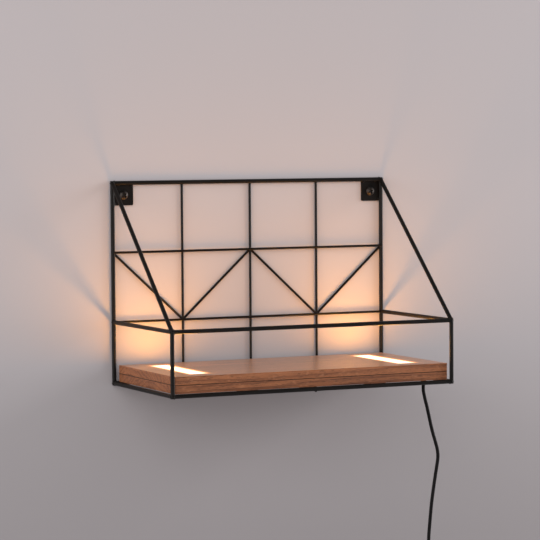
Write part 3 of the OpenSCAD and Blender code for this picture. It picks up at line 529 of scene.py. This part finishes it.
def bead(line, radius, seed):
    """A tube along a closed line, whose radius swells and shrinks with two waves: by 16% with 11
    to the round, and by 12% with 4."""
    turn = 2 * np.pi * np.arange(len(line)) / len(line)
    uneven = 1 + 0.16 * np.sin(11 * turn + seed) + 0.12 * np.sin(4 * turn + 2 * seed)
    outwards = unit(line - line.mean(axis=0))
    return grid_part(tube(line, radius * uneven, BEAD_SIDES, outwards, ring=True), ring=True)


# %% Which rods are welded to which
ROD_BEAD_R = 0.5 * MM
WIRE_BEAD_R = 0.36 * MM
SIDES = ("left", "right")

joints = [(f"{side}_upright", end) for side in SIDES for end in (
    "top_rail", "back_bottom_rail", f"{side}_bottom_rail", f"{side}_guard_rail", f"{side}_stay")]
joints += [(f"{side}_front_post", end) for side in SIDES for end in (
    "front_bottom_rail", "front_guard_rail", f"{side}_bottom_rail", f"{side}_guard_rail")]
joints += [(rail, "centre_bottom_rod") for rail in ("front_bottom_rail", "back_bottom_rail")]
corner_beads = [bead(joint_line(*pair), ROD_BEAD_R, k) for k, pair in enumerate(joints)]
corner_beads += [bead(flat_line(f"{side}_stay", guard_z + ROD_R), ROD_BEAD_R, k)
                 for k, side in enumerate(SIDES)]

wire_joints = [(rail, f"{place}_grid_upright") for rail in ("top_rail", "back_bottom_rail")
               for place in ("left", "centre", "right")]
wire_joints += [(f"{side}_upright", f"{level}_grid_rail") for side in SIDES
                for level in ("mid", "low")]
wire_joints += [("left_upright", "brace_1"), ("left_grid_upright", "brace_1"),
                ("centre_grid_upright", "brace_2"), ("left_grid_upright", "brace_2"),
                ("centre_grid_upright", "brace_3"), ("right_grid_upright", "brace_3"),
                ("right_upright", "brace_4"), ("right_grid_upright", "brace_4")]
grid_beads = [bead(joint_line(*pair), WIRE_BEAD_R, k) for k, pair in enumerate(wire_joints)]
print(len(corner_beads), "beads on the rods and", len(grid_beads), "on the wires")

# %% [markdown]
# Where two grid wires only cross, they were pressed together and spot welded, which squeezes a
# small cushion of metal out between them. The tabs and the flat bars have short straight beads
# with the ripples of a weld, and the middle rod shows a drop of weld under the front rail.

# %% Spot welds and drops
CUSHION = np.array([1.5, 0.55, 1.5]) * MM
DROP = np.array([1.235, 0.95, 0.95]) * MM
BALL_ROWS = 13
BALL_SIDES = 22
POLE_GAP = 0.03


def cushion(centre, radii):
    """A squashed ball: the three radii times the sines and cosines of a ball's two angles."""
    polar = np.pi * np.linspace(POLE_GAP, 1 - POLE_GAP, BALL_ROWS)[:, None]
    turn = 2 * np.pi * np.arange(BALL_SIDES)[None] / BALL_SIDES
    ball = np.stack(np.broadcast_arrays(
        np.sin(polar) * np.cos(turn), np.sin(polar) * np.sin(turn), np.cos(polar)), axis=-1)
    return grid_part(centre + radii * ball)


grid_beads += [cushion((x, grid_y - WIRE_R, z), CUSHION)
               for x in (-grid_step, 0, grid_step) for z in (mid_z, low_z)]
corner_beads.append(cushion((0, front_y, bottom_z - ROD_R), DROP))
add_piece("corner_welds", corner_beads, "black_powder_coat")
add_piece("grid_welds", grid_beads, "black_powder_coat")

# %% Seams on the bars and the tabs
RIPPLE_L = 1.3 * MM
RIPPLE_STEPS = 7
SEAM_STEPS_LEAST = 12
SEAM_SIDES = 12
OFF_AXIS = np.array([0.3, 0.8, 0.52])
TACK_L = 3.2 * MM
TACK_R = 0.85 * MM
TACK_INSET = 8 * MM


def seam(start, stop, radius):
    """A straight bead with a ripple every RIPPLE_L. Its radius keeps its size for most of the
    way and closes fast at the ends, as the root of 1 - x ^ 8 does."""
    start, stop = np.array(start), np.array(stop)
    length = np.linalg.norm(stop - start)
    t = np.linspace(0, 1, max(SEAM_STEPS_LEAST, int(length / RIPPLE_L * RIPPLE_STEPS)))
    ends = np.sqrt(np.clip(1 - (2 * np.abs(t - 0.5)) ** 8, 0.04, 1))
    ripple = 1 + 0.14 * np.abs(np.sin(np.pi * t * length / RIPPLE_L))
    path = start + t[:, None] * (stop - start)
    return grid_part(tube(path, radius * ends * ripple, SEAM_SIDES, OFF_AXIS))


bar_low, bar_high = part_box("right_support_bar")
bar_reach = math.sqrt(ROD_R ** 2 - (bar_low.z - bottom_z) ** 2)
seams = [seam((side * bar_low.x, y, bar_low.z), (side * bar_high.x, y, bar_low.z), ROD_BEAD_R)
         for side in (-1, 1) for y in (front_y + bar_reach, back_y - bar_reach)]

tab_reach = math.sqrt(ROD_R ** 2 - (TAB_T + back_y) ** 2)
tab_x = abs(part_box("left_wall_tab")[1].x)
tab_low_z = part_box("left_wall_tab")[0].z
for side in (-1, 1):
    top = (-TAB_T, top_z - tab_reach)
    outer_x = side * (half_w - tab_reach)
    tack_x = side * (half_w - TACK_INSET)
    seams += [
        seam((tack_x, *top), (tack_x + side * TACK_L, *top), TACK_R),
        seam((side * tab_x, *top), (side * (tab_x + TACK_L), *top), TACK_R),
        seam((outer_x, -TAB_T, tab_low_z + TACK_L), (outer_x, -TAB_T, tab_low_z), TACK_R),
    ]
add_piece("bar_and_tab_welds", seams, "black_powder_coat")

# %% [markdown]
# ## Finishes as arithmetic
# A finish is a small program of nodes. It could be drawn by hand in the node editor, but written
# as formulas it is short and can be read. Wires carry numbers between nodes, and this class lets
# the numbers be added and multiplied: each operation adds its Math node. Every other node comes
# from one method, which takes the node's type, its settings, and the values or wires of its
# sockets.

# %% Wires
class Wire:
    """The output of a shader node, on which arithmetic adds Math nodes."""

    def __init__(self, paint, socket):
        self.paint = paint
        self.socket = socket

    def math(self, operation, *others):
        return self.paint.node("ShaderNodeMath", {"operation": operation}, (self, *others))

    def __add__(self, other):
        return self.math("ADD", other)

    def __mul__(self, other):
        return self.math("MULTIPLY", other)

    def __sub__(self, other):
        return self.math("SUBTRACT", other)

    def __truediv__(self, other):
        return self.math("DIVIDE", other)

    def __pow__(self, other):
        return self.math("POWER", other)

    def __gt__(self, other):
        return self.math("GREATER_THAN", other)

    def __lt__(self, other):
        return self.math("LESS_THAN", other)

    def __abs__(self):
        return self.math("ABSOLUTE")

    def __rsub__(self, other):
        return self.paint.node("ShaderNodeMath", {"operation": "SUBTRACT"}, (other, self))

    __radd__ = __add__
    __rmul__ = __mul__

    def rise(self, low, high):
        """0 below low, 1 above high and a smooth rise between them; low may be above high."""
        return self.paint.node(
            "ShaderNodeMapRange", {"interpolation_type": "SMOOTHSTEP"}, (self, low, high))


# %% Paints
class Paint:
    """A material and the nodes that are added to it."""

    def __init__(self, name):
        self.material = bpy.data.materials.new(name)
        self.material.use_nodes = True
        self.tree = self.material.node_tree
        self.tree.nodes.clear()
        self.place = self.node("ShaderNodeTexCoord", out="Object")
        self.x, self.y, self.z = self.split(self.place)

    def node(self, kind, settings=None, inputs=(), out=0):
        """Adds a node. Its settings come first, then each socket gets its wire or its value."""
        made = self.tree.nodes.new(kind)
        for name, value in (settings or {}).items():
            setattr(made, name, value)
        for key, value in inputs.items() if isinstance(inputs, dict) else enumerate(inputs):
            if isinstance(value, Wire):
                self.tree.links.new(value.socket, made.inputs[key])
            else:
                made.inputs[key].default_value = value
        if isinstance(out, tuple):
            return [Wire(self, made.outputs[name]) for name in out]
        return Wire(self, made.outputs[out])

    def split(self, vector):
        return self.node("ShaderNodeSeparateXYZ", {}, [vector], out=("X", "Y", "Z"))

    def joined(self, x, y, z):
        return self.node("ShaderNodeCombineXYZ", {}, (x, y, z))

    def lengthwise(self):
        """The distance along a piece and the one across it, from its UV map."""
        return self.split(self.node("ShaderNodeTexCoord", out="UV"))[:2]

    def mix(self, share, a, b):
        """A colour between a and b."""
        a, b = ((*c, 1.0) if isinstance(c, tuple) else c for c in (a, b))
        return self.node("ShaderNodeMix", {"data_type": "RGBA"}, {0: share, 6: a, 7: b}, out=2)

    def noise(self, factors, detail=3.0, rough=0.5, place=None):
        """Cloudy noise from 0 to 1, with factors many lumps to the metre along X, Y and Z."""
        factors = factors if isinstance(factors, tuple) else (factors,) * 3
        scaled = self.node(
            "ShaderNodeVectorMath", {"operation": "MULTIPLY"}, (place or self.place, factors))
        return self.node("ShaderNodeTexNoise", {}, {
            "Vector": scaled, "Scale": 1.0, "Detail": detail, "Roughness": rough})

    def finish(self, height, depth, **sockets):
        """The Principled surface. height is a number over the surface, whose full swing from 0 to
        1 stands depth metres high. Socket names have underscores for their spaces."""
        inputs = {name.replace("_", " "): (*value, 1.0) if isinstance(value, tuple) else value
                  for name, value in sockets.items()}
        inputs["Normal"] = self.node("ShaderNodeBump", {}, {
            "Strength": 1.0, "Distance": depth, "Height": height}, out="Normal")
        self.output(self.node("ShaderNodeBsdfPrincipled", {}, inputs))

    def output(self, surface):
        sink = self.tree.nodes.new("ShaderNodeOutputMaterial")
        self.tree.links.new(surface.socket, sink.inputs["Surface"])


# %% A finish for each slot
def finish_for(slot, paint):
    """Puts a paint on every CAD node and every new piece whose slot this is."""
    count = 0
    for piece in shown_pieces():
        cad_slot = piece.data.materials[0].name if "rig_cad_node" in piece else piece.get("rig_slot")
        if cad_slot == slot:
            piece.data.materials.clear()
            piece.data.materials.append(paint.material)
            count += 1
    print(f"{slot}: {count} pieces")


# %% [markdown]
# ## Black powder coat
# The frame is steel rod under a baked-on matte black powder. Close up, such a coat has the
# fine dimples of orange peel and a faint grain where single specks of powder stood up. One flat
# black would make the rods look like plastic. The dimples are a bump a few hundredths of a
# millimetre deep, and they break up the highlights.

# %% Black powder coat
COAT_DIMPLES = 1500.0
COAT_SPECKS = 5200.0
COAT_CLOUDS = 45.0
COAT_BLACK = (0.0034, 0.0024, 0.0018)
COAT_WORN = (0.0072, 0.0054, 0.0043)

coat = Paint("black_powder_coat_finish")
dimples = coat.noise(COAT_DIMPLES, detail=2.0)
specks = coat.noise(COAT_SPECKS, detail=1.0)
cloud = coat.noise(COAT_CLOUDS, detail=2.0)
worn = cloud.rise(0.3, 0.7) * 0.6 + specks.rise(0.6, 0.75) * 0.4
coat.finish(
    height=dimples * 0.7 + specks * 0.3,
    depth=0.04 * MM,
    Base_Color=coat.mix(worn, COAT_BLACK, COAT_WORN),
    Roughness=0.36 + 0.12 * dimples,
    Specular_IOR_Level=0.17,
)
finish_for("black_powder_coat", coat)

# %% [markdown]
# ## Stained wood
# Wood is solid all through, so its figure is a pattern in space and not a picture wrapped round
# the board, and every face is a cut through it. Growth rings are shells round a pith that runs
# along X: a saw-tooth of the distance from it, bent by slow noise. Cut along, the shells give
# long bands, and cut across they give the arcs on the end of the board. Fibres are noise
# stretched many times over along X, pores are the darkest part of a second such noise, and rays
# are short pale flecks. Each layer of the board was sawn from another plank, so the upper one
# reads the pattern at another place.

# %% The wood's figure
UPPER_SHIFT = 0.413
PITH_Y = (-0.093, -0.041)
PITH_Z = (-0.262, -0.238)
RING_W = 4.6 * MM
SWAY_W = 22 * MM
WOBBLE_W = 1.6 * MM
SEAM_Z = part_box("upper_board")[0].z
WOOD_DARK = (0.122, 0.036, 0.0125)
WOOD_LIGHT = (0.345, 0.122, 0.045)
RAY_COLOUR = (0.42, 0.175, 0.080)
PORE_COLOUR = (0.050, 0.016, 0.007)

wood = Paint("wood_finish")
upper = wood.z > SEAM_Z
x = wood.x + upper * UPPER_SHIFT
y = wood.y - PITH_Y[0] - upper * (PITH_Y[1] - PITH_Y[0])
z = wood.z - PITH_Z[0] - upper * (PITH_Z[1] - PITH_Z[0])
plank = wood.joined(x, y, z)
sway = wood.noise((3.5, 22.0, 22.0), detail=2.0, place=plank) - 0.5
wobble = wood.noise((14.0, 120.0, 120.0), detail=2.0, place=plank) - 0.5
distance = (y * y + z * z) ** 0.5 + sway * SWAY_W + wobble * WOBBLE_W
phase = (distance / RING_W).math("FRACT")
late_wood = phase.rise(0.35, 0.92) * (1 - phase.rise(0.93, 1.0))
fibre = wood.noise((55.0, 900.0, 900.0), detail=4.0, rough=0.6, place=plank)
streak = wood.noise((11.0, 260.0, 260.0), detail=3.0, rough=0.55, place=plank)
pore = wood.noise((170.0, 1500.0, 1500.0), detail=1.0, place=plank).rise(0.57, 0.66)
fleck = wood.noise((150.0, 1000.0, 330.0), detail=1.0, place=plank).rise(0.63, 0.72)
figure = wood.noise((7.0, 34.0, 34.0), detail=2.0, place=plank)

tone = (fibre - 0.5) * 0.8 + (streak - 0.5) * 0.55 + (figure - 0.5) * 0.8
tone = tone - late_wood * 0.30 + 0.60 + upper * 0.07
colour = wood.mix(tone.rise(0.0, 1.0), WOOD_DARK, WOOD_LIGHT)
colour = wood.mix(fleck * 0.35, colour, RAY_COLOUR)
colour = wood.mix(pore * 0.5, colour, PORE_COLOUR)
print("the layers meet at height", round(SEAM_Z, 4), "m")

# %% [markdown]
# Where the two layers are glued a thin dark line shows, and some patches of the front edge keep
# the slanting marks of a saw. Round each window a thin orange rim of painted glow, an emission
# colour on the wood's top, stands in for light leaking a little way into the wood; its strength
# falls with the distance from the window's outline.
# The top is planed and sealed, so that little of the grain is felt there.

# %% Saw marks and the glue line
FRONT_SKIN = 0.2 * MM
SAW_MARK_W = 1.9 * MM
GLUE_LINE_HALF_W = 0.35 * MM
SAW_COLOUR = (0.07, 0.024, 0.012)
GLUE_COLOUR = (0.022, 0.008, 0.004)

on_front = wood.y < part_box("upper_board")[0].y + FRONT_SKIN
saw_patch = wood.noise((26.0, 1.0, 60.0), detail=1.0).rise(0.56, 0.66)
saw_wave = ((wood.x * 0.8 - wood.z * 0.6) / SAW_MARK_W + wobble * 1.2).math("FRACT")
saw_mark = saw_wave.rise(0.62, 0.8) * (1 - saw_wave.rise(0.84, 0.98)) * saw_patch * on_front
colour = wood.mix(saw_mark * 0.5, colour, SAW_COLOUR)
glue_line = 1 - abs(wood.z - SEAM_Z).rise(0.6 * GLUE_LINE_HALF_W, 1.5 * GLUE_LINE_HALF_W)
colour = wood.mix(glue_line * 0.85, colour, GLUE_COLOUR)
print("a saw mark every", SAW_MARK_W, "m, and a glue line", 2 * GLUE_LINE_HALF_W, "m wide")

# %% The painted orange glow, and the wood's surface
WINDOW_RIM = 1.9 * MM
TOP_SKIN = 1.2 * MM
TOP_PLANED = 0.85
PAINTED_GLOW_REACH = 1.6 * MM
PAINTED_GLOW_COLOUR = (1.0, 0.36, 0.07)

window_low, window_high = (np.array(corner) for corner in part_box("right_diffuser"))
window_half_w = (window_high[0] - window_low[0]) / 2 - WINDOW_RIM
window_half_l = (window_high[1] - window_low[1]) / 2 - WINDOW_RIM
window_x, window_y = (window_low[:2] + window_high[:2]) / 2


def past_window(paint):
    """How far a point lies past the outline of its window, and below 0 inside it: the larger of
    the distances past the half width, along X, and past the half length, along Y."""
    past_x = abs(abs(paint.x) - window_x) - window_half_w
    return past_x.math("MAXIMUM", abs(paint.y - window_y) - window_half_l)


on_top = wood.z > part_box("upper_board")[1].z - TOP_SKIN
felt = 1 - TOP_PLANED * on_top
# painted glow: an orange emission on the wood's top, fading with the distance past each window's
# outline
glow = (past_window(wood).math("MAXIMUM", 0.0) * (-1 / PAINTED_GLOW_REACH)).math("EXPONENT") * on_top
wood.finish(
    height=(fibre * 0.45 + (1 - pore) * 0.4) * felt + (1 - saw_mark) * 0.3 - glue_line * 0.8,
    depth=0.1 * MM,
    Base_Color=colour,
    Roughness=0.28 + (0.20 - 0.08 * fibre + 0.25 * pore) * felt,
    Specular_IOR_Level=0.42,
    Sheen_Weight=0.10,
    Sheen_Roughness=0.35,
    Sheen_Tint=(1.0, 0.76, 0.60),
    Emission_Color=wood.mix(glow, (0.0, 0.0, 0.0), PAINTED_GLOW_COLOUR),
    Emission_Strength=0.9,
)
finish_for("wood", wood)

# %% [markdown]
# ## Lit windows
# The diffusers are opal acrylic with light chips a few millimetres below them. They glow warm
# white, a little brighter over the chips and more orange in the outer 10 mm, where the light
# has to go through more of the plastic. They are up to three times as bright as the brightest
# white a picture holds, so they look lit. Their own glow could light the wall too, but lamps of
# their size do it with less noise, and those follow further down.

# %% Lit windows
CHIP_PITCH = 8 * MM
WARM_WHITE = (1.0, 0.80, 0.50)
WARM_EDGE = (0.30, 0.125, 0.032)
WARM_GAP = (0.7, 0.45, 0.2)
EDGE_FADE = 10 * MM

opal = Paint("opal_finish")
edge = past_window(opal)
chips = ((opal.y - window_y) * (2 * math.pi / CHIP_PITCH)).math("COSINE")
clouds = opal.noise(60.0)
lit = opal.mix(edge.rise(-EDGE_FADE, 0.0), WARM_WHITE, WARM_EDGE)
lit = opal.mix(0.06 - 0.05 * chips + 0.03 * clouds, lit, WARM_GAP)
opal.finish(
    height=clouds,
    depth=0.02 * MM,
    Base_Color=opal.mix(clouds, (0.86, 0.82, 0.74), (0.90, 0.87, 0.80)),
    Roughness=0.38 + 0.06 * clouds,
    Emission_Color=lit,
    Emission_Strength=3.0,
)
finish_for("opal", opal)

# %% [markdown]
# ## Metals
# The screws have a dull bronze-black finish, thinner and lighter in patches. The plates in the
# light pockets are plain rolled aluminium, whose long scratches are noise stretched along Y. The
# plug pins are bright nickel, with a black sleeve on the half next to the housing, as a safe
# plug has. Each could be one plain metal, but the noise shows how it was rolled, plated or worn.

# %% Screws
screw = Paint("screw_steel_finish")
patches = screw.noise(420.0, detail=3.0)
grains = screw.noise(2600.0, detail=1.0)
screw.finish(
    height=grains,
    depth=0.02 * MM,
    Base_Color=screw.mix(patches.rise(0.35, 0.65), (0.038, 0.032, 0.029), (0.078, 0.067, 0.061)),
    Metallic=1.0,
    Roughness=0.46 + 0.14 * patches,
)
finish_for("screw_steel", screw)

# %% Plates
plate = Paint("bare_aluminium_finish")
rolled = plate.noise((2400.0, 22.0, 2400.0), detail=3.0)
plate.finish(
    height=rolled,
    depth=0.02 * MM,
    Base_Color=plate.mix(rolled, (0.62, 0.63, 0.64), (0.80, 0.81, 0.82)),
    Metallic=1.0,
    Roughness=0.28 + 0.18 * rolled,
)
finish_for("bare_aluminium", plate)

# %% Plug pins
PIN_SLEEVE_L = 9 * MM
SLEEVE_COLOUR = (0.014, 0.014, 0.015)

pins = Paint("plated_pins_finish")
sleeve = pins.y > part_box("supply_case")[0].y - PIN_SLEEVE_L
rubbed = pins.noise((900.0, 90.0, 900.0), detail=3.0)
nickel = pins.mix(rubbed, (0.58, 0.56, 0.52), (0.76, 0.74, 0.69))
pins.finish(
    height=rubbed,
    depth=0.02 * MM,
    Base_Color=pins.mix(sleeve, nickel, SLEEVE_COLOUR),
    Metallic=1 - sleeve,
    Roughness=0.20 + 0.10 * rubbed + 0.22 * sleeve,
)
finish_for("plated_pins", pins)

# %% [markdown]
# ## Inside the light pockets
# A circuit board is white solder mask with bare copper pads beside each chip, and a light chip
# is a white cup filled with yellow phosphor. Pads and phosphor could be pieces of their own, but
# they are only a print and a fill, so the finish draws them. The chips repeat along Y, so one
# saw-tooth of the place along Y finds them all. Of each pair of wires, one is red and one black.

# %% Circuit boards
CHIP_HALF_W = 1.4 * MM
CHIP_H = 0.5 * MM
PHOSPHOR_R = 1.05 * MM
PAD_HALF_W = 2.4 * MM
PAD_HALF_L = 0.9 * MM
PHOSPHOR_COLOUR = (0.85, 0.62, 0.10)
COPPER_COLOUR = (0.62, 0.30, 0.14)

board = Paint("circuit_board_finish")
from_middle = abs(abs(board.x) - window_x)
on_pitch = ((board.y - window_y) / CHIP_PITCH).math("FRACT")
from_chip = abs(on_pitch - 0.5) * CHIP_PITCH
off_centre = (from_middle * from_middle + from_chip * from_chip) ** 0.5
phosphor = 1 - off_centre.rise(0.9 * PHOSPHOR_R, PHOSPHOR_R)
on_chip = board.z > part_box("left_led_strip")[1].z - CHIP_H
beside_chip = (from_middle > CHIP_HALF_W) * (from_middle < PAD_HALF_W)
pad = beside_chip * (from_chip < PAD_HALF_L) * (1 - on_chip)
mask_grain = board.noise(1800.0)
shade = board.mix(mask_grain, (0.80, 0.80, 0.77), (0.88, 0.88, 0.85))
shade = board.mix(pad, shade, COPPER_COLOUR)
board.finish(
    height=mask_grain + pad,
    depth=0.03 * MM,
    Base_Color=board.mix(phosphor * on_chip, shade, PHOSPHOR_COLOUR),
    Metallic=pad,
    Roughness=0.30 + 0.12 * mask_grain,
)
finish_for("circuit_board", board)

# %% Wires of two colours
WIRE_REACH = 2 * MM
WIRE_BLACK = (0.020, 0.019, 0.020)

wires = Paint("wire_insulation_finish")
core_y = middle_of("cord_cores")[1]
black_wire = (wires.y > window_y) * (wires.y < window_y + WIRE_REACH)
black_core = (wires.y > core_y) * (wires.y < core_y + WIRE_REACH)
lines = wires.noise((30.0, 2500.0, 2500.0))
red = wires.mix(lines, (0.36, 0.018, 0.014), (0.46, 0.030, 0.022))
wires.finish(
    height=lines,
    depth=0.02 * MM,
    Base_Color=wires.mix(black_wire.math("MAXIMUM", black_core), WIRE_BLACK, red),
    Roughness=0.36 + 0.10 * lines,
)
finish_for("wire_insulation", wires)

# %% [markdown]
# ## Rubber, strap and moulded plastic
# The sheath of the cord is drawn through a die, which leaves faint lines along it; they follow
# the cord's own UV map, whose first number is the length along it. The strap's threads follow
# its UV map too. The housings of the switch and the supply come from a mould with a sparked
# surface, which is a fine even grain that takes the shine off the plastic.

# %% The cord's sheath
SHEATH_BLACK = (0.0035, 0.0030, 0.0032)
SHEATH_DUSTY = (0.0090, 0.0080, 0.0078)

sheath = Paint("cord_sheath_finish")
run, round_it = sheath.lengthwise()
die_lines = sheath.noise((12.0, 2600.0, 1.0), detail=2.0, place=sheath.joined(run, round_it, 0.0))
dust = sheath.noise(700.0, detail=3.0)
sheath.finish(
    height=die_lines * 0.6 + dust * 0.4,
    depth=0.03 * MM,
    Base_Color=sheath.mix(dust.rise(0.45, 0.75), SHEATH_BLACK, SHEATH_DUSTY),
    Roughness=0.42 + 0.14 * die_lines,
    Specular_IOR_Level=0.11,
)
finish_for("cord_sheath", sheath)

# %% The strap's weave
STRAP_THREADS = 1150.0
FLUFF_LUMPS = 1500.0

band = Paint("strap_finish")
run, across_band = band.lengthwise()
warp = (run * (STRAP_THREADS * math.pi)).math("SINE")
weft = (across_band * (STRAP_THREADS * math.pi)).math("SINE")
fluff = band.noise(
    (FLUFF_LUMPS, FLUFF_LUMPS, 1.0), detail=2.0, place=band.joined(run, across_band, 0.0))
threads = warp * weft * 0.5 + 0.5
band.finish(
    height=threads * 0.6 + fluff * 0.5,
    depth=0.18 * MM,
    Base_Color=band.mix(threads * 0.6 + fluff * 0.4, (0.007, 0.007, 0.007), (0.028, 0.027, 0.028)),
    Roughness=0.86,
    Sheen_Weight=0.18,
    Sheen_Roughness=0.5,
)
finish_for("strap", band)

# %% Black moulded plastic
SPARK_LUMPS = 3600.0
FLOW_LUMPS = 70.0

plastic = Paint("black_plastic_finish")
spark = plastic.noise(SPARK_LUMPS, detail=2.0, rough=0.6)
flow = plastic.noise(FLOW_LUMPS, detail=2.0)
paler = flow.rise(0.35, 0.7) * 0.5 + spark.rise(0.5, 0.8) * 0.5
plastic.finish(
    height=spark,
    depth=0.06 * MM,
    Base_Color=plastic.mix(paler, (0.012, 0.012, 0.013), (0.023, 0.023, 0.024)),
    Roughness=0.46 + 0.16 * spark,
)
finish_for("black_plastic", plastic)

# %% [markdown]
# ## The stage
# A wall stands behind the lamp and a pale floor lies well below it. Both are seen from one side
# only, so that a view from behind or from below still shows the lamp: their finish turns clear
# on the back of the face. The wall's colour is painted darker from the lamp downwards: painted
# shade, standing in for light that fades down the wall. Neither casts a shadow, and the floor
# sends no light up, so only the wall colours the light round the lamp.

# %% Wall and floor
WALL_COLOUR = (0.457, 0.4235, 0.432)
WALL_MOTTLING = 0.05
# painted shade: the share of the wall's colour left low down, standing in for light that fades down
# the wall
WALL_PAINTED_SHADE = 0.65
PAINTED_SHADE_Z = (0.0, -0.45)
FLOOR_COLOUR = (0.62, 0.61, 0.61)
FLOOR_MOTTLING = 0.03
MOTTLES = 2.5
REACH = 3.0
FLOOR_Z = -0.75


def stage_plane(name, corners, colour, mottling, painted_shade=1.0):
    """One face, whose colour is clouded by the share mottling. Between two heights its colour is
    painted darker, down to the share given last: painted shade for light that fades downwards."""
    mesh = bpy.data.meshes.new(name)
    mesh.from_pydata(corners, [], [(0, 1, 2, 3)])
    plane = bpy.data.objects.new(name, mesh)
    bpy.context.scene.collection.objects.link(plane)
    paint = Paint(name + "_finish")
    clouded = tuple(c * (1 - mottling) for c in colour)
    painted_shade_colour = tuple(c * painted_shade for c in colour)
    tint = paint.mix(paint.noise(MOTTLES, detail=4.0), colour, clouded)
    # painted shade: the colour is painted darker towards the bottom, between the two heights
    tint = paint.mix(paint.z.rise(*PAINTED_SHADE_Z), tint, painted_shade_colour)
    surface = paint.node("ShaderNodeBsdfDiffuse", {}, {"Color": tint})
    clear = paint.node("ShaderNodeBsdfTransparent")
    behind = paint.node("ShaderNodeNewGeometry", out="Backfacing")
    paint.output(paint.node("ShaderNodeMixShader", {}, (behind, surface, clear)))
    mesh.materials.append(paint.material)
    plane.visible_diffuse = name == "wall"
    plane.visible_shadow = False
    print(f"{name}: {REACH} m each way")


stage_plane("wall", [(-REACH, 0, FLOOR_Z), (REACH, 0, FLOOR_Z), (REACH, 0, REACH),
                     (-REACH, 0, REACH)], WALL_COLOUR, WALL_MOTTLING, WALL_PAINTED_SHADE)
stage_plane("floor", [(-REACH, -2 * REACH, FLOOR_Z), (REACH, -2 * REACH, FLOOR_Z),
                      (REACH, 0, FLOOR_Z), (-REACH, 0, FLOOR_Z)], FLOOR_COLOUR, FLOOR_MOTTLING)

# %% [markdown]
# ## Light
# Two soft lamps stand at the sides, close to the wall, and rake along it. A third one in front,
# on the left, makes the board's left end a little lighter than its front. Their powers were
# found by comparing patches of wall and wood with the photograph. The rest is a pale sky, which
# is darker in reflections, so that the black rods stay black. Each window gets a lamp of its own
# size just above the diffuser, facing up, so that the rods draw their shadows on the wall as the
# chips' light does. The lamps don't show themselves.

# %% Lamps
STUDIO = {
    "key": ((-1.0, -1.6, 0.6), 1.0, 8.7),
    "left_side": ((-2.2, -0.6, 0.35), 1.2, 23.4),
    "right_side": ((2.2, -0.6, 0.35), 1.2, 48.9),
}
STUDIO_AIM = (0.0, 0.0, -0.05)
STUDIO_WHITE = (1.0, 0.985, 0.99)
WINDOW_WATTS = 0.284
WINDOW_LIGHT = (1.0, 0.409, 0.057)
WINDOW_LIFT = 0.5 * MM


def area_lamp(name, place, aim, size, watts, colour):
    data = bpy.data.lights.new(name, "AREA")
    data.shape = "RECTANGLE"
    data.size, data.size_y = size
    data.energy = watts
    data.color = colour
    lamp = bpy.data.objects.new(name, data)
    bpy.context.scene.collection.objects.link(lamp)
    lamp.location = place
    lamp.rotation_euler = (aim - lamp.location).to_track_quat("-Z", "Y").to_euler()
    lamp.visible_camera = False


for name, (place, size, watts) in STUDIO.items():
    area_lamp(name, place, Vector(STUDIO_AIM), (size, size), watts, STUDIO_WHITE)
for side in (-1, 1):
    place = Vector((side * window_x, window_y, window_high[2] + WINDOW_LIFT))
    area_lamp(f"window_light_{side}", place, place + Vector((0, 0, 1)),
              (2 * window_half_w, 2 * window_half_l), WINDOW_WATTS, WINDOW_LIGHT)
print("lamps:", len(STUDIO), "in the studio and 2 over the windows")

# %% The sky
SKY_LIGHT = 0.559
SKY_MIRRORED = 0.2
SKY_WHITE = (1.0, 0.99, 1.0, 1.0)

world = bpy.data.worlds.new("sky")
bpy.context.scene.world = world
world.use_nodes = True
tree = world.node_tree
tree.nodes.clear()
mixed = tree.nodes.new("ShaderNodeMixShader")
tree.links.new(tree.nodes.new("ShaderNodeLightPath").outputs["Is Glossy Ray"], mixed.inputs[0])
for socket, strength in ((1, SKY_LIGHT), (2, SKY_MIRRORED)):
    sky = tree.nodes.new("ShaderNodeBackground")
    sky.inputs["Color"].default_value = SKY_WHITE
    sky.inputs["Strength"].default_value = strength
    tree.links.new(sky.outputs[0], mixed.inputs[socket])
tree.links.new(mixed.outputs[0], tree.nodes.new("ShaderNodeOutputWorld").inputs["Surface"])
print("the sky is", SKY_LIGHT, "bright, and", SKY_MIRRORED, "in reflections")
